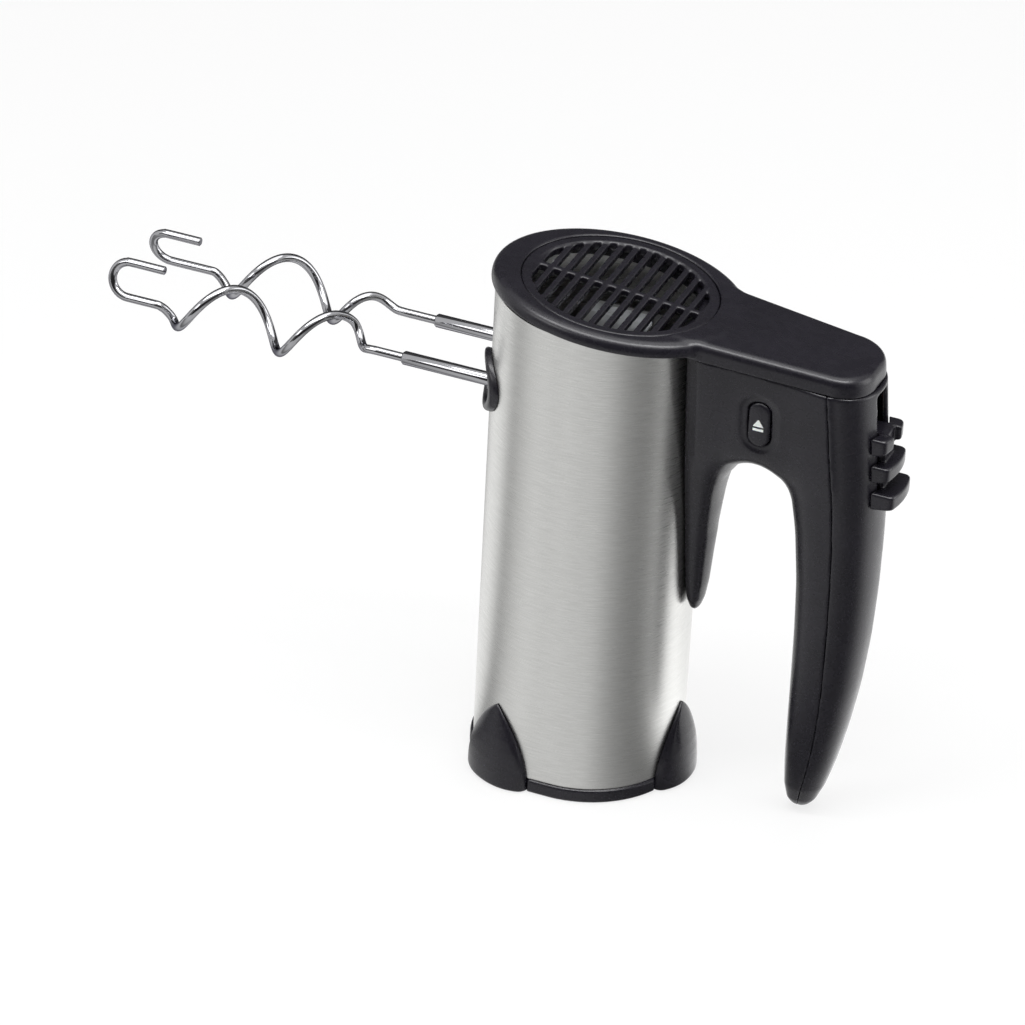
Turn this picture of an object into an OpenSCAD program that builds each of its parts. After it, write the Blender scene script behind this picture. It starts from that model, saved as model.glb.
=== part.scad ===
// Hand mixer standing on its base: an upright brushed steel motor tube, a keyhole top cover with a
// vent grille, a hooked handle behind it, and two dough hooks that point forwards (-X).
// Origin: centre of the underside of the base. +Z is up the tube, +X is towards the handle.

/* [Motor tube] */
// Radius of the tube's rounded ends
tube_r = 42; // [38:1:50]
// Length of the flat between the two rounded ends of the oval tube
tube_flat = 6.8; // [2:0.2:16]
// Wall of the steel tube
tube_wall = 1.0; // [0.8:0.1:1.6]
// Height of the top cover's surface above the floor, on the tube's axis
body_h = 229.6; // [215:0.1:276]
// Slope of the top cover, down towards the handle
top_tilt = 4.3; // [0:0.1:6]

/* [Top cover] */
// How far the cap stands out past the tube's front
cap_front = 2.1; // [1.5:0.1:4]
// How far the cap stands out past the tube's back
cap_back = 16.3; // [14:0.1:20]
// How far the cap stands out past the tube's sides
cap_side = 2.3; // [1.5:0.1:4]
// Height of the cap's rim
cap_rim = 6.2; // [5:0.1:7.4]
// Height of the handle plate's edge
plate_edge = 8.3; // [7.5:0.1:10]
// Half width of the handle plate where it leaves the cap
plate_half_w = 25.6; // [23:0.1:28]
// Half width of the handle plate near its round end
plate_end_half_w = 20.7; // [19:0.1:23]
// How far the handle plate reaches behind the tube
plate_reach = 76.4; // [74:0.1:84]
// Corner radius of the plate's end
plate_corner = 16; // [10:0.5:18]
// Width of the cap's surface beside the grille
grille_margin = 6.5; // [6:0.1:12]
// Width of the cap's surface in front of the grille and behind it
grille_end_margin = 12.8; // [10:0.1:16]
// Number of slots along the grille
slot_count = 12; // [8:1:13]
// Width of one grille slot
slot_w = 3.5; // [2.5:0.1:4.2]

/* [Handle] */
// Wall of the moulded handle shells
handle_wall = 2.4; // [1.8:0.1:3]
// Half width of the arch over the finger gap
arch_half_w = 18; // [14:0.5:19]
// Height of the arch above its centre
arch_rise = 30; // [24:0.5:31]
// Depth of the arch's centre below the top
arch_depth = 91.6; // [88:0.1:96]

/* [Base] */
// Height of the base cover's rim
base_h = 6; // [5:0.2:8]
// How far the base cover stands out from the tube
base_proud = 1.3; // [1:0.1:1.8]
// Height of a claw foot
claw_h = 36.5; // [28:0.5:44]
// Half width of a claw foot at the floor
claw_half_w = 17.6; // [12:0.2:19]
// How far a claw foot stands out from the tube
claw_proud = 7.4; // [5:0.2:9]
// Bore of the cord's grommet
cord_bore = 6.8; // [5:0.1:8.2]

/* [Drive] */
// Distance between the two hook spindles
spindle_gap = 35; // [33:0.5:42]
// Depth of the hook spindles below the top
spindle_depth = 49.6; // [45:0.1:53]
// Pitch radius of the worm
worm_r = 4.5; // [4.3:0.1:5.4]
// Number of teeth on a worm wheel
wheel_teeth = 20; // [16:1:24]
// Face width of a worm wheel
wheel_face = 5; // [4:0.5:6]
// Radius of the motor shaft
shaft_r = 3; // [2.5:0.1:3]
// Radius of the armature
armature_r = 16; // [13:0.5:18]
// Height of the armature's stack
armature_h = 28; // [22:0.1:34]
// Radius of the fan
fan_r = 24; // [20:0.5:26]
// Number of fan blades
fan_blades = 11; // [7:1:15]

/* [Dough hooks] */
// Diameter of a hook's drive shank
shank_d = 5.9; // [4.9:0.1:7.1]
// Diameter of the hook wire
wire_d = 3.7; // [3:0.1:4.4]
// How far a shank reaches out of its hub
shank_out = 42.5; // [35:0.5:51]
// Radius of the hook's spiral, to the middle of the wire
coil_r = 10.8; // [9:0.1:11.5]
// Advance of the spiral in one turn
coil_pitch = 47; // [42:0.5:52]
// Distance between the two arms of the end hook
end_gap = 15.5; // [12:0.5:16]

/* [Controls] */
// Travel of the speed slider
slide_travel = 16.6; // [12:0.1:20]
// Half width of the slider's fins
fin_half_w = 11; // [8:0.1:13.2]
// Height of one fin at its outer edge
fin_h = 6.3; // [5:0.1:7.6]
// Spacing of the fins
fin_step = 12.6; // [11:0.1:13.5]
// Travel of the eject button
eject_travel = 3.5; // [2.5:0.1:4]
// Width of the eject button
button_w = 9.6; // [8:0.1:11.5]
// Length of the eject button
button_l = 20.6; // [16:0.2:22]

/* [Fits] */
// Clearance between fixed pieces that seat together
seat = 0.15; // [0.1:0.05:0.2]
// Running clearance round a shaft
run = 0.05; // [0.03:0.01:0.08]
// Clearance beside a piece that slides
slide = 0.3; // [0.25:0.05:0.4]

/* [Hidden] */
$fn = 64;

black = [0.07, 0.07, 0.08];
dark = [0.16, 0.16, 0.17];
steel = [0.72, 0.72, 0.70];
chrome = [0.80, 0.81, 0.83];
copper = [0.72, 0.38, 0.18];
iron = [0.35, 0.35, 0.37];
nylon = [0.86, 0.84, 0.76];
big = 400;

// Tube and top cover
end_x = tube_flat / 2;
back_x = tube_r + end_x;
inner_r = tube_r - tube_wall;
collar_wall = 2.2;
collar_h = 6;
cap_x = (cap_back - cap_front) / 2;
cap_half_l = back_x + (cap_front + cap_back) / 2;
cap_half_w = tube_r + cap_side;
cap_meets_x = cap_x + cap_half_l * sqrt(1 - pow(plate_half_w / cap_half_w, 2));
plate_roof = 2.6;
plate_flare = 1.4;
grille_half_l = cap_half_l - grille_end_margin;
grille_half_w = cap_half_w - grille_margin;
grille_h = 4;
grille_sink = 0.4;
grille_ledge = 2;
grille_rim = 4.2;
grille_rib = 2.6;

// Base
base_floor = 2.4;
claw_angles = [0, 118, -118];
// Rows of a claw: [height, reach out at its edges, reach out at its middle]
claw_rows = [
  [0, 0.24, 0.93], [0.02, 0.29, 0.99], [0.06, 0.3, 1], [0.2, 0.3, 0.99], [0.34, 0.28, 0.94],
  [0.48, 0.26, 0.84], [0.62, 0.23, 0.68], [0.76, 0.2, 0.47], [0.9, 0.15, 0.25], [0.99, 0.1, 0.1]
];
screw_posts = [[-26, 0], [18, 22], [18, -22]];
post_r = 4;
grommet_z = 24;
grommet_r = 7;
grommet_lip = 2;

// Sockets, gears and gearbox
spindle_z = body_h - spindle_depth;
side_y = spindle_gap / 2;
socket_r = 11;
bezel_proud = 3;
bezel_lip = 2;
bezel_bore = socket_r - 1.6;
hub_r = 6;
hub_back = 14;
hub_front = 6.4 - back_x;
mouth_depth = 8;
wing_r = 4.6;
wing_w = 1.6;
gear_r = side_y - worm_r;
tooth_angle = 360 / wheel_teeth;
tooth_pitch = 2 * PI * gear_r / wheel_teeth;
tooth_h = 0.27 * tooth_pitch;
wheel_tip = gear_r + tooth_h;
wheel_root = gear_r - tooth_h - 0.4;
shank_end = hub_back - 0.4;
shank_front = hub_front - shank_out;
case_wall = 2.2;
case_half_x = hub_back - 0.4;
case_half_y = side_y + wheel_tip + case_wall + 0.8;
case_low = spindle_z - wheel_tip - 5.5;
case_high = spindle_z + wheel_tip + 4.5;
case_floor = 5;
case_roof = 4;
gear_screws = [for (x = [-11, 11], s = [-1, 1]) [x, s * (shaft_r + 3.5)]];
bracket_t = 1.5;

// Motor
stator_low = case_low - 80;
stator_h = armature_h - 2;
stator_high = stator_low + stator_h;
stator_x = 28;
stator_y = 26;
bolts = [for (x = [-24, 24], y = [-21, 21]) [x, y]];
bolt_r = 1.5;
column_r = 3.6;
cradle_z = stator_low - 38;
cradle_h = 9;
bearing_r = 8;
bearing_h = 5;
bearing_z = cradle_z + cradle_h - bearing_h;
fan_z = stator_low + 46;
fan_h = 11;
commutator_r = 10;
commutator_z = stator_low - 22;
commutator_h = 13;
coil_h = 6;
brush = [15, 6.4, 7.2];
brush_z = commutator_z + 2.2;

// Controls
button_x = back_x + 32.6;
button_z = spindle_z + 11.5;
button_y = -20.2;
button_h = 8;
flange = 1.5;
flange_y = button_y + 3.9;
stem_h = 5;
ramp_x = button_x + 2;
bar_half_w = 3;
spring_seat = -5;
spring_r = 2.4;
spring_wire = 0.4;
slider_top = body_h - 20.6;
slider_high = slider_top - slide_travel;
fin_root_h = fin_h + 2.2;
slider_low = slider_high - 2 * fin_step - fin_root_h;
fin_bulge = 1.8;
slider_neck = 5.2;
slider_foot_x = back_x + 71.6;
carriage_x = slider_foot_x - 2.4;
pin_z = slider_low + 12;
switch_front = back_x + 52.1;
switch_back = carriage_x - 2.6;
switch_low = slider_low - 3.8;

// Sections of the grip from its tip up, with x measured from the tube's back:
// [z, front x, widest x, back x, half width]
grip = [
  [1.5, 53.6, 56.6, 60.2, 3], [5, 51.2, 57.2, 63.3, 5.6], [13, 49.8, 59.1, 66.9, 8.6],
  [26, 49.4, 62.1, 70.8, 11], [45, 49.5, 64.9, 75, 12.8], [66, 49.7, 66.6, 78.6, 14.3],
  [90, 49.8, 67.4, 81.2, 15.6], [body_h - 114.6, 49.2, 67.6, 82.5, 16.6],
  [body_h - 89.6, 47.1, 67.3, 82.8, 17.6], [body_h - 64.6, 42.6, 65.9, 82.3, 18.6],
  [body_h - 39.6, 38.6, 63.4, 80.4, 19.6], [body_h - 10.6, 38.6, 60.6, 77.8, 20.5]
];
// Sections of the short front leg, which ends in a fang beside the tube
leg = [
  [body_h - 144.6, 2.1, 4.1, 5.6, 3.4], [body_h - 139.6, 0.6, 3.6, 7.2, 5.6],
  [body_h - 131.6, -0.4, 3.6, 8.4, 7.3], [body_h - 117.6, -1.4, 3.6, 9.4, 8.6],
  [body_h - 101.6, -2.4, 4.1, 10.8, 10.2], [body_h - 83.6, -3.4, 4.6, 14.2, 12.8],
  [body_h - 63.6, -3.4, 5.6, 20.6, 16.4], [body_h - 39.6, -3.4, 6.6, 26.6, 20],
  [body_h - 10.6, -3.4, 6.6, 30.6, 23.4]
];
// The bridge over the arch, from the leg's side to the grip's
bridge_low = body_h - 75.6;
bridge = [
  [bridge_low, leg[6][1], leg[6][2], leg[6][3], 14.4], leg[8],
  [bridge_low, grip[9][1], grip[9][2], grip[9][3], 18.2], grip[11]
];
arch_x = back_x + 30.6;
arch_z = body_h - arch_depth;
front_power = 2.9;
back_power = 2.15;

// ---- shared shapes ----
function swing(v, p) = sign(v) * pow(abs(v), 2 / p);
function section_points(s, inset) = [for (k = [0:31]) let (
    c = cos(k * 11.25), d = sin(k * 11.25),
    reach = c > 0 ? s[3] - s[2] : s[2] - s[1],
    p = c > 0 ? back_power : front_power)
  [back_x + s[2] + (reach - inset) * swing(c, p), (s[4] - inset) * swing(d, p)]];
function arc(c, r, a0, a1, n = 12) = [for (k = [0:n]) let (
    a = a0 + (a1 - a0) * k / n) c + r * [cos(a), sin(a)]];
function ellipse(a, b, n = 96) = [for (k = [0:n - 1]) [a * cos(k * 360 / n), b * sin(k * 360 / n)]];
function ease(t) = let (u = max(0, min(1, t))) u * u * (3 - 2 * u);
function above(stations, z) = [for (s = stations) if (s[0] >= z) s];

module oval(r) {
  for (s = [-1, 1]) translate([s * end_x, 0]) circle(r);
  square([2 * end_x, 2 * r], center = true);
}

module oval_block(r, z0, z1) {
  translate([0, 0, z0]) linear_extrude(z1 - z0) oval(r);
}

module on_top() {
  translate([0, 0, body_h]) rotate([0, top_tilt, 0]) children();
}

// A layer of the space between two depths below the top cover's surface
module top_layer(low, high) {
  on_top() translate([-big / 2, -big / 2, -low]) cube([big, big, low - high]);
}

module along_x(x0, x1, y, z, r) {
  translate([x0, y, z]) rotate([0, 90, 0]) cylinder(h = x1 - x0, r = r);
}

module along_y(y0, y1, x, z, r) {
  translate([x, y0, z]) rotate([-90, 0, 0]) cylinder(h = y1 - y0, r = r);
}

module post(p, z0, z1, r) {
  translate([p[0], p[1], z0]) cylinder(h = z1 - z0, r = r);
}

module pipe(z0, z1, outer, inner) {
  difference() {
    post([0, 0], z0, z1, outer);
    post([0, 0], z0 - 1, z1 + 1, inner);
  }
}

module block(low, high) {
  translate(low) cube(high - low);
}

module slab(s, inset) {
  translate([0, 0, s[0]]) linear_extrude(0.02) polygon(section_points(s, inset));
}

module loft(stations, inset) {
  for (i = [0:len(stations) - 2]) hull() {
    slab(stations[i], inset);
    slab(stations[i + 1], inset);
  }
}

// Round rod along a list of points, closed at both ends
module rod(path, r, sides) {
  n = len(path);
  ahead = [for (i = [0:n - 1]) let (
      d = path[min(i + 1, n - 1)] - path[max(i - 1, 0)]) d / norm(d)];
  side = [for (i = 0, v = cross(ahead[0], [0, 0.6, 0.8]); i < n; i = i + 1,
      v = i < n ? v - (v * ahead[i]) * ahead[i] : v) v / norm(v)];
  rings = [for (i = [0:n - 1]) for (k = [0:sides - 1]) let (a = k * 360 / sides)
    path[i] + r * (cos(a) * side[i] + sin(a) * cross(ahead[i], side[i]))];
  walls = [for (i = [0:n - 2]) for (k = [0:sides - 1]) let (m = (k + 1) % sides)
    [i * sides + k, (i + 1) * sides + k, (i + 1) * sides + m, i * sides + m]];
  first = [for (k = [0:sides - 1]) k];
  last = [for (k = [sides - 1:-1:0]) (n - 1) * sides + k];
  polyhedron(rings, concat([first], walls, [last]));
}

// ---- casing ----
module body_tube() {
  color(steel) difference() {
    oval_block(tube_r, base_h + seat, body_h + 10);
    oval_block(inner_r, 0, body_h + 20);
    top_layer(cap_rim + seat, -big);
    for (s = [-1, 1]) along_x(-big / 4, 0, s * side_y, spindle_z, socket_r);
    ejector_window();
    along_y(0, tube_r + 5, 0, grommet_z, grommet_r);
  }
}

// Way through the tube and the handle's front wall for the ejector and the switch wires
module ejector_window() {
  block([back_x - 24, -6, button_z - 6], [back_x + 14, 6, button_z + 16]);
}

module cap_outline(inset) {
  translate([cap_x, 0]) polygon(ellipse(cap_half_l - inset, cap_half_w - inset));
}

module grille_outline(inset) {
  translate([cap_x, 0]) polygon(ellipse(grille_half_l - inset, grille_half_w - inset));
}

module plate_outline(inset, start, flare = 0) {
  corner = [back_x + plate_reach + flare - plate_corner, plate_end_half_w - plate_corner];
  taper = (plate_half_w - plate_end_half_w) / (corner[0] - cap_meets_x);
  start_w = plate_half_w - inset + taper * (cap_meets_x - start);
  upper = concat([[start, start_w]], arc(corner, plate_corner - inset, 90 - atan(taper), 0));
  lower = [for (i = [len(upper) - 1:-1:0]) [upper[i][0], -upper[i][1]]];
  polygon(concat(upper, lower));
}

module top_cover() {
  color(black) {
    difference() {
      on_top() cover_plate();
      intersection() {
        oval_block(tube_r + seat, 0, body_h + 10);
        top_layer(big, cap_rim);
      }
    }
    // collar that fits inside the tube
    intersection() {
      difference() {
        oval_block(inner_r - seat, body_h / 2, body_h + 10);
        oval_block(inner_r - seat - collar_wall, 0, body_h + 20);
      }
      top_layer(cap_rim + collar_h, cap_rim - 1);
    }
  }
}

module cover_plate() {
  difference() {
    union() {
      translate([0, 0, -cap_rim]) linear_extrude(cap_rim) cap_outline(0);
      hull() {
        translate([0, 0, -plate_edge]) linear_extrude(0.01) plate_outline(0, back_x - 12, plate_flare);
        translate([0, 0, -0.01]) linear_extrude(0.01) plate_outline(0, back_x - 12);
      }
    }
    // well for the grille, with a ledge that the grille rests on
    translate([0, 0, -grille_h - grille_sink - seat]) linear_extrude(5) grille_outline(-seat);
    translate([0, 0, -20]) linear_extrude(30) intersection() {
      grille_outline(grille_ledge);
      oval(inner_r - seat - collar_wall - 1);
    }
    // hollow underside of the handle plate
    translate([0, 0, -20]) linear_extrude(20 - plate_roof) plate_outline(handle_wall, back_x + 5);
  }
}

module vent_grille() {
  step = 2 * (grille_half_l - 5) / slot_count;
  color(black) on_top() translate([0, 0, -grille_sink - grille_h]) difference() {
    linear_extrude(grille_h) grille_outline(0);
    // groove round the edge
    translate([0, 0, grille_h - 0.7]) linear_extrude(2) difference() {
      grille_outline(0.8);
      grille_outline(2);
    }
    translate([0, 0, -1]) linear_extrude(grille_h + 2) intersection() {
      grille_outline(grille_rim);
      difference() {
        for (i = [0:slot_count - 1]) translate([cap_x + (i - (slot_count - 1) / 2) * step, 0])
          square([slot_w, 2 * grille_half_w], center = true);
        square([big, grille_rib], center = true);
      }
    }
  }
}

// ---- handle ----
module handle_form(inset, low_grip, low_leg) {
  loft(above(grip, low_grip), inset);
  loft(above(leg, low_leg), inset);
  hull() for (s = bridge) slab(s, inset);
}

module arch_cut(inset) {
  translate([arch_x, big / 2, arch_z]) rotate([90, 0, 0])
    linear_extrude(big) polygon(ellipse(arch_half_w + inset, arch_rise + inset, 64));
}

// Everything behind the seam, which runs up the grip at its widest line
module behind_seam(gap) {
  seam = [for (s = grip) [back_x + s[2] + gap, s[0]]];
  first = seam[0];
  last = seam[len(seam) - 1];
  outline = concat([first - [1.5, 6.5]], seam, [last + [-1, 30], [big, last[1] + 30], [big, -5]]);
  translate([0, big / 2, 0]) rotate([90, 0, 0]) linear_extrude(big) polygon(outline);
}

module handle_shell() {
  difference() {
    handle_form(0, 0, 0);
    arch_cut(0);
    difference() {
      handle_form(handle_wall, grip[3][0], leg[4][0]);
      arch_cut(handle_wall);
    }
    top_layer(plate_edge + seat, -big);
    oval_block(tube_r + seat, 0, body_h + 20);
  }
}

module slider_slot(extra) {
  half_w = slider_neck + extra;
  translate([0, 0, -extra]) block([carriage_x - 5, -half_w, slider_low - 0.4],
    [carriage_x + 25, half_w, slider_top + 2 * extra + 0.4]);
}

module button_shape(w, l, h) {
  linear_extrude(h) {
    for (s = [-1, 1]) translate([0, s * (l - w) / 2]) circle(w / 2);
    square([w, l - w], center = true);
  }
}

module at_button(y) {
  translate([button_x, y, button_z]) rotate([-90, 0, 0]) children();
}

module handle_body() {
  color(black) difference() {
    union() {
      difference() {
        handle_shell();
        behind_seam(-seat / 2);
      }
      intersection() {
        handle_form(handle_wall / 2, grip[3][0], leg[4][0]);
        union() {
          // post for the eject button's spring, off the far wall
          block([button_x - 3, spring_seat, button_z - 17], [button_x + 3, 25, button_z - 11]);
          // shelf that carries the speed switch
          block([switch_front - 0.5, -25, switch_low - 3.2], [carriage_x - 6.6, 25, switch_low - 0.2]);
        }
      }
    }
    at_button(-30) button_shape(button_w + 2 * slide, button_l + 2 * slide, 20);
    at_button(-30) button_shape(button_w + 4, button_l + 4, 31.4 + button_y);
    ejector_window();
  }
}

module handle_back_cover() {
  color(black) difference() {
    intersection() {
      handle_shell();
      behind_seam(seat / 2);
    }
    slider_slot(slide);
  }
}

// ---- base ----
module base_cover() {
  color(black) difference() {
    union() {
      oval_block(tube_r + base_proud, 0, base_h);
      oval_block(inner_r - seat, base_h - 1, base_h + 4);
    }
    oval_block(inner_r - seat - collar_wall, base_floor, base_h + 10);
    for (p = screw_posts) post(p, -1, base_h, bolt_r + 0.2);
    for (p = screw_posts) post(p, -1, 1.2, 3.4);
    for (a = claw_angles) claw_notch(a);
  }
}

// The claws stand in the frame of the tube's end that they lie on, turned by a
module at_claw(a) {
  translate([cos(a) < 0 ? -end_x : end_x, 0, 0]) rotate([0, 0, a]) children();
}

// Notch in the base's rim, which a claw fills
module claw_notch(a) {
  difference() {
    at_claw(a) block([0, -claw_half_w - seat, -1], [80, claw_half_w + seat, 20]);
    oval_block(tube_r, -5, 80);
  }
}

// Half width of a claw, a pointed arch seen from outside, at height z
function claw_reach(z) = let (
  side_r = (claw_h * claw_h + claw_half_w * claw_half_w) / (2 * claw_half_w)
) sqrt(side_r * side_r - z * z) - side_r + claw_half_w;

module claw_section(z, edge, middle) {
  turn = asin(claw_reach(z) / tube_r) + 1;
  translate([0, 0, z]) linear_extrude(0.01) polygon(concat([[20, 0]], [for (k = [-8:8]) let (
      r = tube_r + edge + (middle - edge) * (1 - pow(abs(k) / 8, 2.4)))
    [r * cos(turn * k / 8), r * sin(turn * k / 8)]]));
}

module claw_foot(a) {
  color(black) difference() {
    at_claw(a) intersection() {
      for (i = [0:len(claw_rows) - 2]) hull() for (c = [claw_rows[i], claw_rows[i + 1]])
        claw_section(c[0] * claw_h, c[1] * claw_proud, c[2] * claw_proud);
      rotate([0, 90, 0]) rotate([0, 0, 90]) linear_extrude(80) polygon(concat(
        [for (k = [0:24]) [claw_reach(k * claw_h / 24), k * claw_h / 24]],
        [for (k = [24:-1:0]) [-claw_reach(k * claw_h / 24), k * claw_h / 24]]));
    }
    at_claw(a) post([0, 0], -1, 80, tube_r + seat);
    pad(a, 0.02);
  }
}

module pad(a, extra) {
  at_claw(a) post([tube_r + claw_proud / 2, 0], -extra, 1.5, 2.3 + extra);
}

module claw_foot_handle() { claw_foot(claw_angles[0]); }
module claw_foot_right() { claw_foot(claw_angles[1]); }
module claw_foot_left() { claw_foot(claw_angles[2]); }

module foot_pads() {
  color(dark) for (a = claw_angles) pad(a, 0);
}

module cord_grommet() {
  color(dark) difference() {
    union() {
      along_y(inner_r - 3, tube_r + 4, 0, grommet_z, grommet_r - seat);
      along_y(tube_r + 0.1, tube_r + 4, 0, grommet_z, grommet_r + grommet_lip);
    }
    along_y(0, tube_r + 10, 0, grommet_z, cord_bore / 2);
  }
}

// ---- hook sockets ----
module socket_bezel(s) {
  z0 = spindle_z - 20;
  z1 = spindle_z + 20;
  color(black) intersection() {
    difference() {
      union() {
        difference() {
          along_x(-big / 4, 0, s * side_y, spindle_z, socket_r + bezel_lip);
          oval_block(tube_r + 0.1, z0, z1);
        }
        along_x(-big / 4, 0, s * side_y, spindle_z, socket_r - seat);
      }
      along_x(-big, 1, s * side_y, spindle_z, bezel_bore);
      oval_block(inner_r - 3, z0, z1);
    }
    oval_block(tube_r + bezel_proud, z0, z1);
  }
}
module socket_bezel_left() { socket_bezel(-1); }
module socket_bezel_right() { socket_bezel(1); }

// ---- gearbox ----
module gearbox_form() {
  intersection() {
    union() {
      block([-case_half_x, -case_half_y, case_low], [case_half_x, case_half_y, case_high]);
      for (s = [-1, 1]) along_x(hub_front + 5, 0, s * side_y, spindle_z, bezel_bore - 2 * seat);
    }
    oval_block(inner_r - seat, case_low, case_high);
  }
}

module gearbox_hollow() {
  wall_x = case_half_x - 5.5;
  wall_y = case_half_y - case_wall;
  block([-wall_x, -wall_y, case_low + case_floor], [wall_x, wall_y, case_high - case_roof]);
  for (s = [-1, 1]) along_x(-big / 4, big / 4, s * side_y, spindle_z, hub_r + run);
  post([0, 0], case_low - 1, case_high + 1, shaft_r + run);
  for (p = gear_screws) post(p, case_low, case_high + 1, bolt_r);
}

module gearbox_case() {
  color(dark) difference() {
    union() {
      intersection() {
        gearbox_form();
        block([-big / 2, -big / 2, 0], [big / 2, big / 2, spindle_z - seat / 2]);
      }
      // columns that stand on the stator, and the flange that joins them
      for (p = bolts) post(p, stator_high + seat, case_low + 4, column_r);
      translate([0, 0, case_low]) linear_extrude(4) intersection() {
        square([2 * (bolts[3][0] + column_r), 2 * (bolts[3][1] + column_r)], center = true);
        oval(inner_r - seat);
      }
    }
    gearbox_hollow();
    post([0, 0], case_low - 1, case_low + bearing_h, bearing_r + run);
    for (p = bolts) post(p, stator_high - 1, stator_high + 15, bolt_r + 0.1);
  }
}

module gearbox_cover() {
  color(dark) difference() {
    intersection() {
      gearbox_form();
      block([-big / 2, -big / 2, spindle_z + seat / 2], [big / 2, big / 2, body_h]);
    }
    gearbox_hollow();
  }
}

module gearbox_bracket() {
  z = case_high + seat;
  half_y = 24;
  color(steel) difference() {
    union() {
      block([-case_half_x, -half_y, z], [case_half_x, half_y, z + bracket_t]);
      for (s = [-1, 1]) translate([0, s * (half_y - 1), 0])
        block([-case_half_x, -1, z], [case_half_x, 1, z + 6]);
    }
    post([0, 0], z - 1, z + 6, shaft_r + 1);
    for (p = gear_screws) post(p, z - 1, z + 6, bolt_r + 0.2);
  }
}

module gearbox_screws() {
  head_z = case_high + seat + bracket_t;
  color(chrome) for (p = gear_screws) difference() {
    union() {
      post(p, spindle_z - 8, head_z + 1, bolt_r - 0.1);
      post(p, head_z, head_z + 2, 2.9);
    }
    // cross slot
    for (w = [[2, 0.4], [0.4, 2]]) translate([p[0], p[1], head_z])
      block([-w[0], -w[1], 1.2], [w[0], w[1], 3]);
  }
}

module worm_wheel(s, phase) {
  color(nylon) translate([0, s * side_y, spindle_z]) difference() {
    union() {
      rotate([0, 90, 0]) rotate([0, 0, 90]) translate([0, 0, -wheel_face / 2])
        linear_extrude(wheel_face) rotate(phase) wheel_outline();
      along_x(hub_front, hub_back, 0, 0, hub_r);
      along_x(0.5 - case_half_x + 5.5, case_half_x - 5.5 - 0.5, 0, 0, hub_r + 1.6);
    }
    along_x(hub_front - 1, hub_back + 1, 0, 0, shank_d / 2 + run);
    // mouth with slots for the shank's drive wings
    for (a = [0, 90]) rotate([a, 0, 0])
      block([hub_front - 1, -wing_r - slide, -wing_w / 2 - slide],
        [hub_front + mouth_depth, wing_r + slide, wing_w / 2 + slide]);
  }
}

module wheel_outline() {
  half = 36 / wheel_teeth;
  polygon([for (k = [0:wheel_teeth - 1]) for (p = [
      [wheel_root, -1.75 * half], [wheel_tip, -0.75 * half],
      [wheel_tip, 0.75 * half], [wheel_root, 1.75 * half]])
    let (a = k * tooth_angle + p[1]) p[0] * [cos(a), sin(a)]]);
}

// The worm's thread passes the wheel on the right at a gap, and the one on the left at a tooth
module worm_wheel_right() { worm_wheel(1, 180 + tooth_angle / 2); }
module worm_wheel_left() { worm_wheel(-1, 0); }

// ---- motor ----
module worm_thread() {
  turns = 5;
  steps = 16;
  n = steps * turns;
  low = spindle_z - (floor(turns / 2) + 0.25) * tooth_pitch;
  root = shaft_r - 0.3;
  tip = worm_r + tooth_h;
  profile = [[root, -0.27], [tip, -0.11], [tip, 0.11], [root, 0.27]];
  points = [for (i = [0:n]) for (p = profile) let (a = i * 360 / steps)
    [p[0] * cos(a), p[0] * sin(a), low + tooth_pitch * (i / steps + p[1])]];
  walls = [for (i = [0:n - 1]) for (k = [0:3]) let (m = (k + 1) % 4)
    [i * 4 + k, i * 4 + m, (i + 1) * 4 + m, (i + 1) * 4 + k]];
  polyhedron(points, concat([[3, 2, 1, 0]], walls, [[n * 4, n * 4 + 1, n * 4 + 2, n * 4 + 3]]));
}

module shaft_with_worm() {
  color(steel) {
    post([0, 0], cradle_z + 2, case_high + 1, shaft_r);
    worm_thread();
  }
}

module armature_core() {
  teeth = 12;
  slot_x = armature_r - 4.2;
  z0 = stator_low - 1;
  z1 = z0 + armature_h;
  color(iron) difference() {
    pipe(z0, z1, armature_r, shaft_r + run);
    for (k = [0:teeth - 1]) rotate(k * 360 / teeth) {
      post([slot_x, 0], z0 - 1, z1 + 1, 2);
      block([slot_x, -0.7, z0 - 1], [slot_x + 6, 0.7, z1 + 1]);
    }
  }
}

module armature_windings() {
  inner = shaft_r + 0.2;
  outer = armature_r - 2.4;
  color(copper) for (z = [stator_low - 1 - coil_h, stator_low - 1 + armature_h])
    translate([0, 0, z]) rotate_extrude() polygon([
      [inner, 0.4], [outer - 2, 0.1], [outer, 1.6], [outer, coil_h - 1.6],
      [outer - 2, coil_h - 0.1], [inner, coil_h - 0.1]
    ]);
}

module commutator() {
  bars = 24;
  z1 = commutator_z + commutator_h;
  color(copper) difference() {
    pipe(commutator_z, z1, commutator_r, shaft_r + run);
    for (k = [0:bars - 1]) rotate(k * 360 / bars)
      block([commutator_r - 1, -0.2, commutator_z - 1], [commutator_r + 2, 0.2, z1 - 2]);
  }
}

module cooling_fan() {
  hub = 8;
  color(dark) difference() {
    union() {
      post([0, 0], fan_z, fan_z + fan_h, hub);
      post([0, 0], fan_z, fan_z + 1.6, fan_r);
      for (k = [0:fan_blades - 1]) rotate(k * 360 / fan_blades) translate([hub - 2, 0, fan_z])
        rotate([0, 0, 12]) block([0, -0.7, 0], [fan_r - hub + 1.4, 0.7, fan_h]);
    }
    post([0, 0], fan_z - 1, fan_z + fan_h + 1, shaft_r + run);
  }
}

module bearing_lower() {
  color(chrome) pipe(bearing_z, bearing_z + bearing_h, bearing_r, shaft_r + run);
}

module bearing_upper() {
  color(chrome) pipe(case_low, case_low + bearing_h, bearing_r, shaft_r + run);
}

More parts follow.
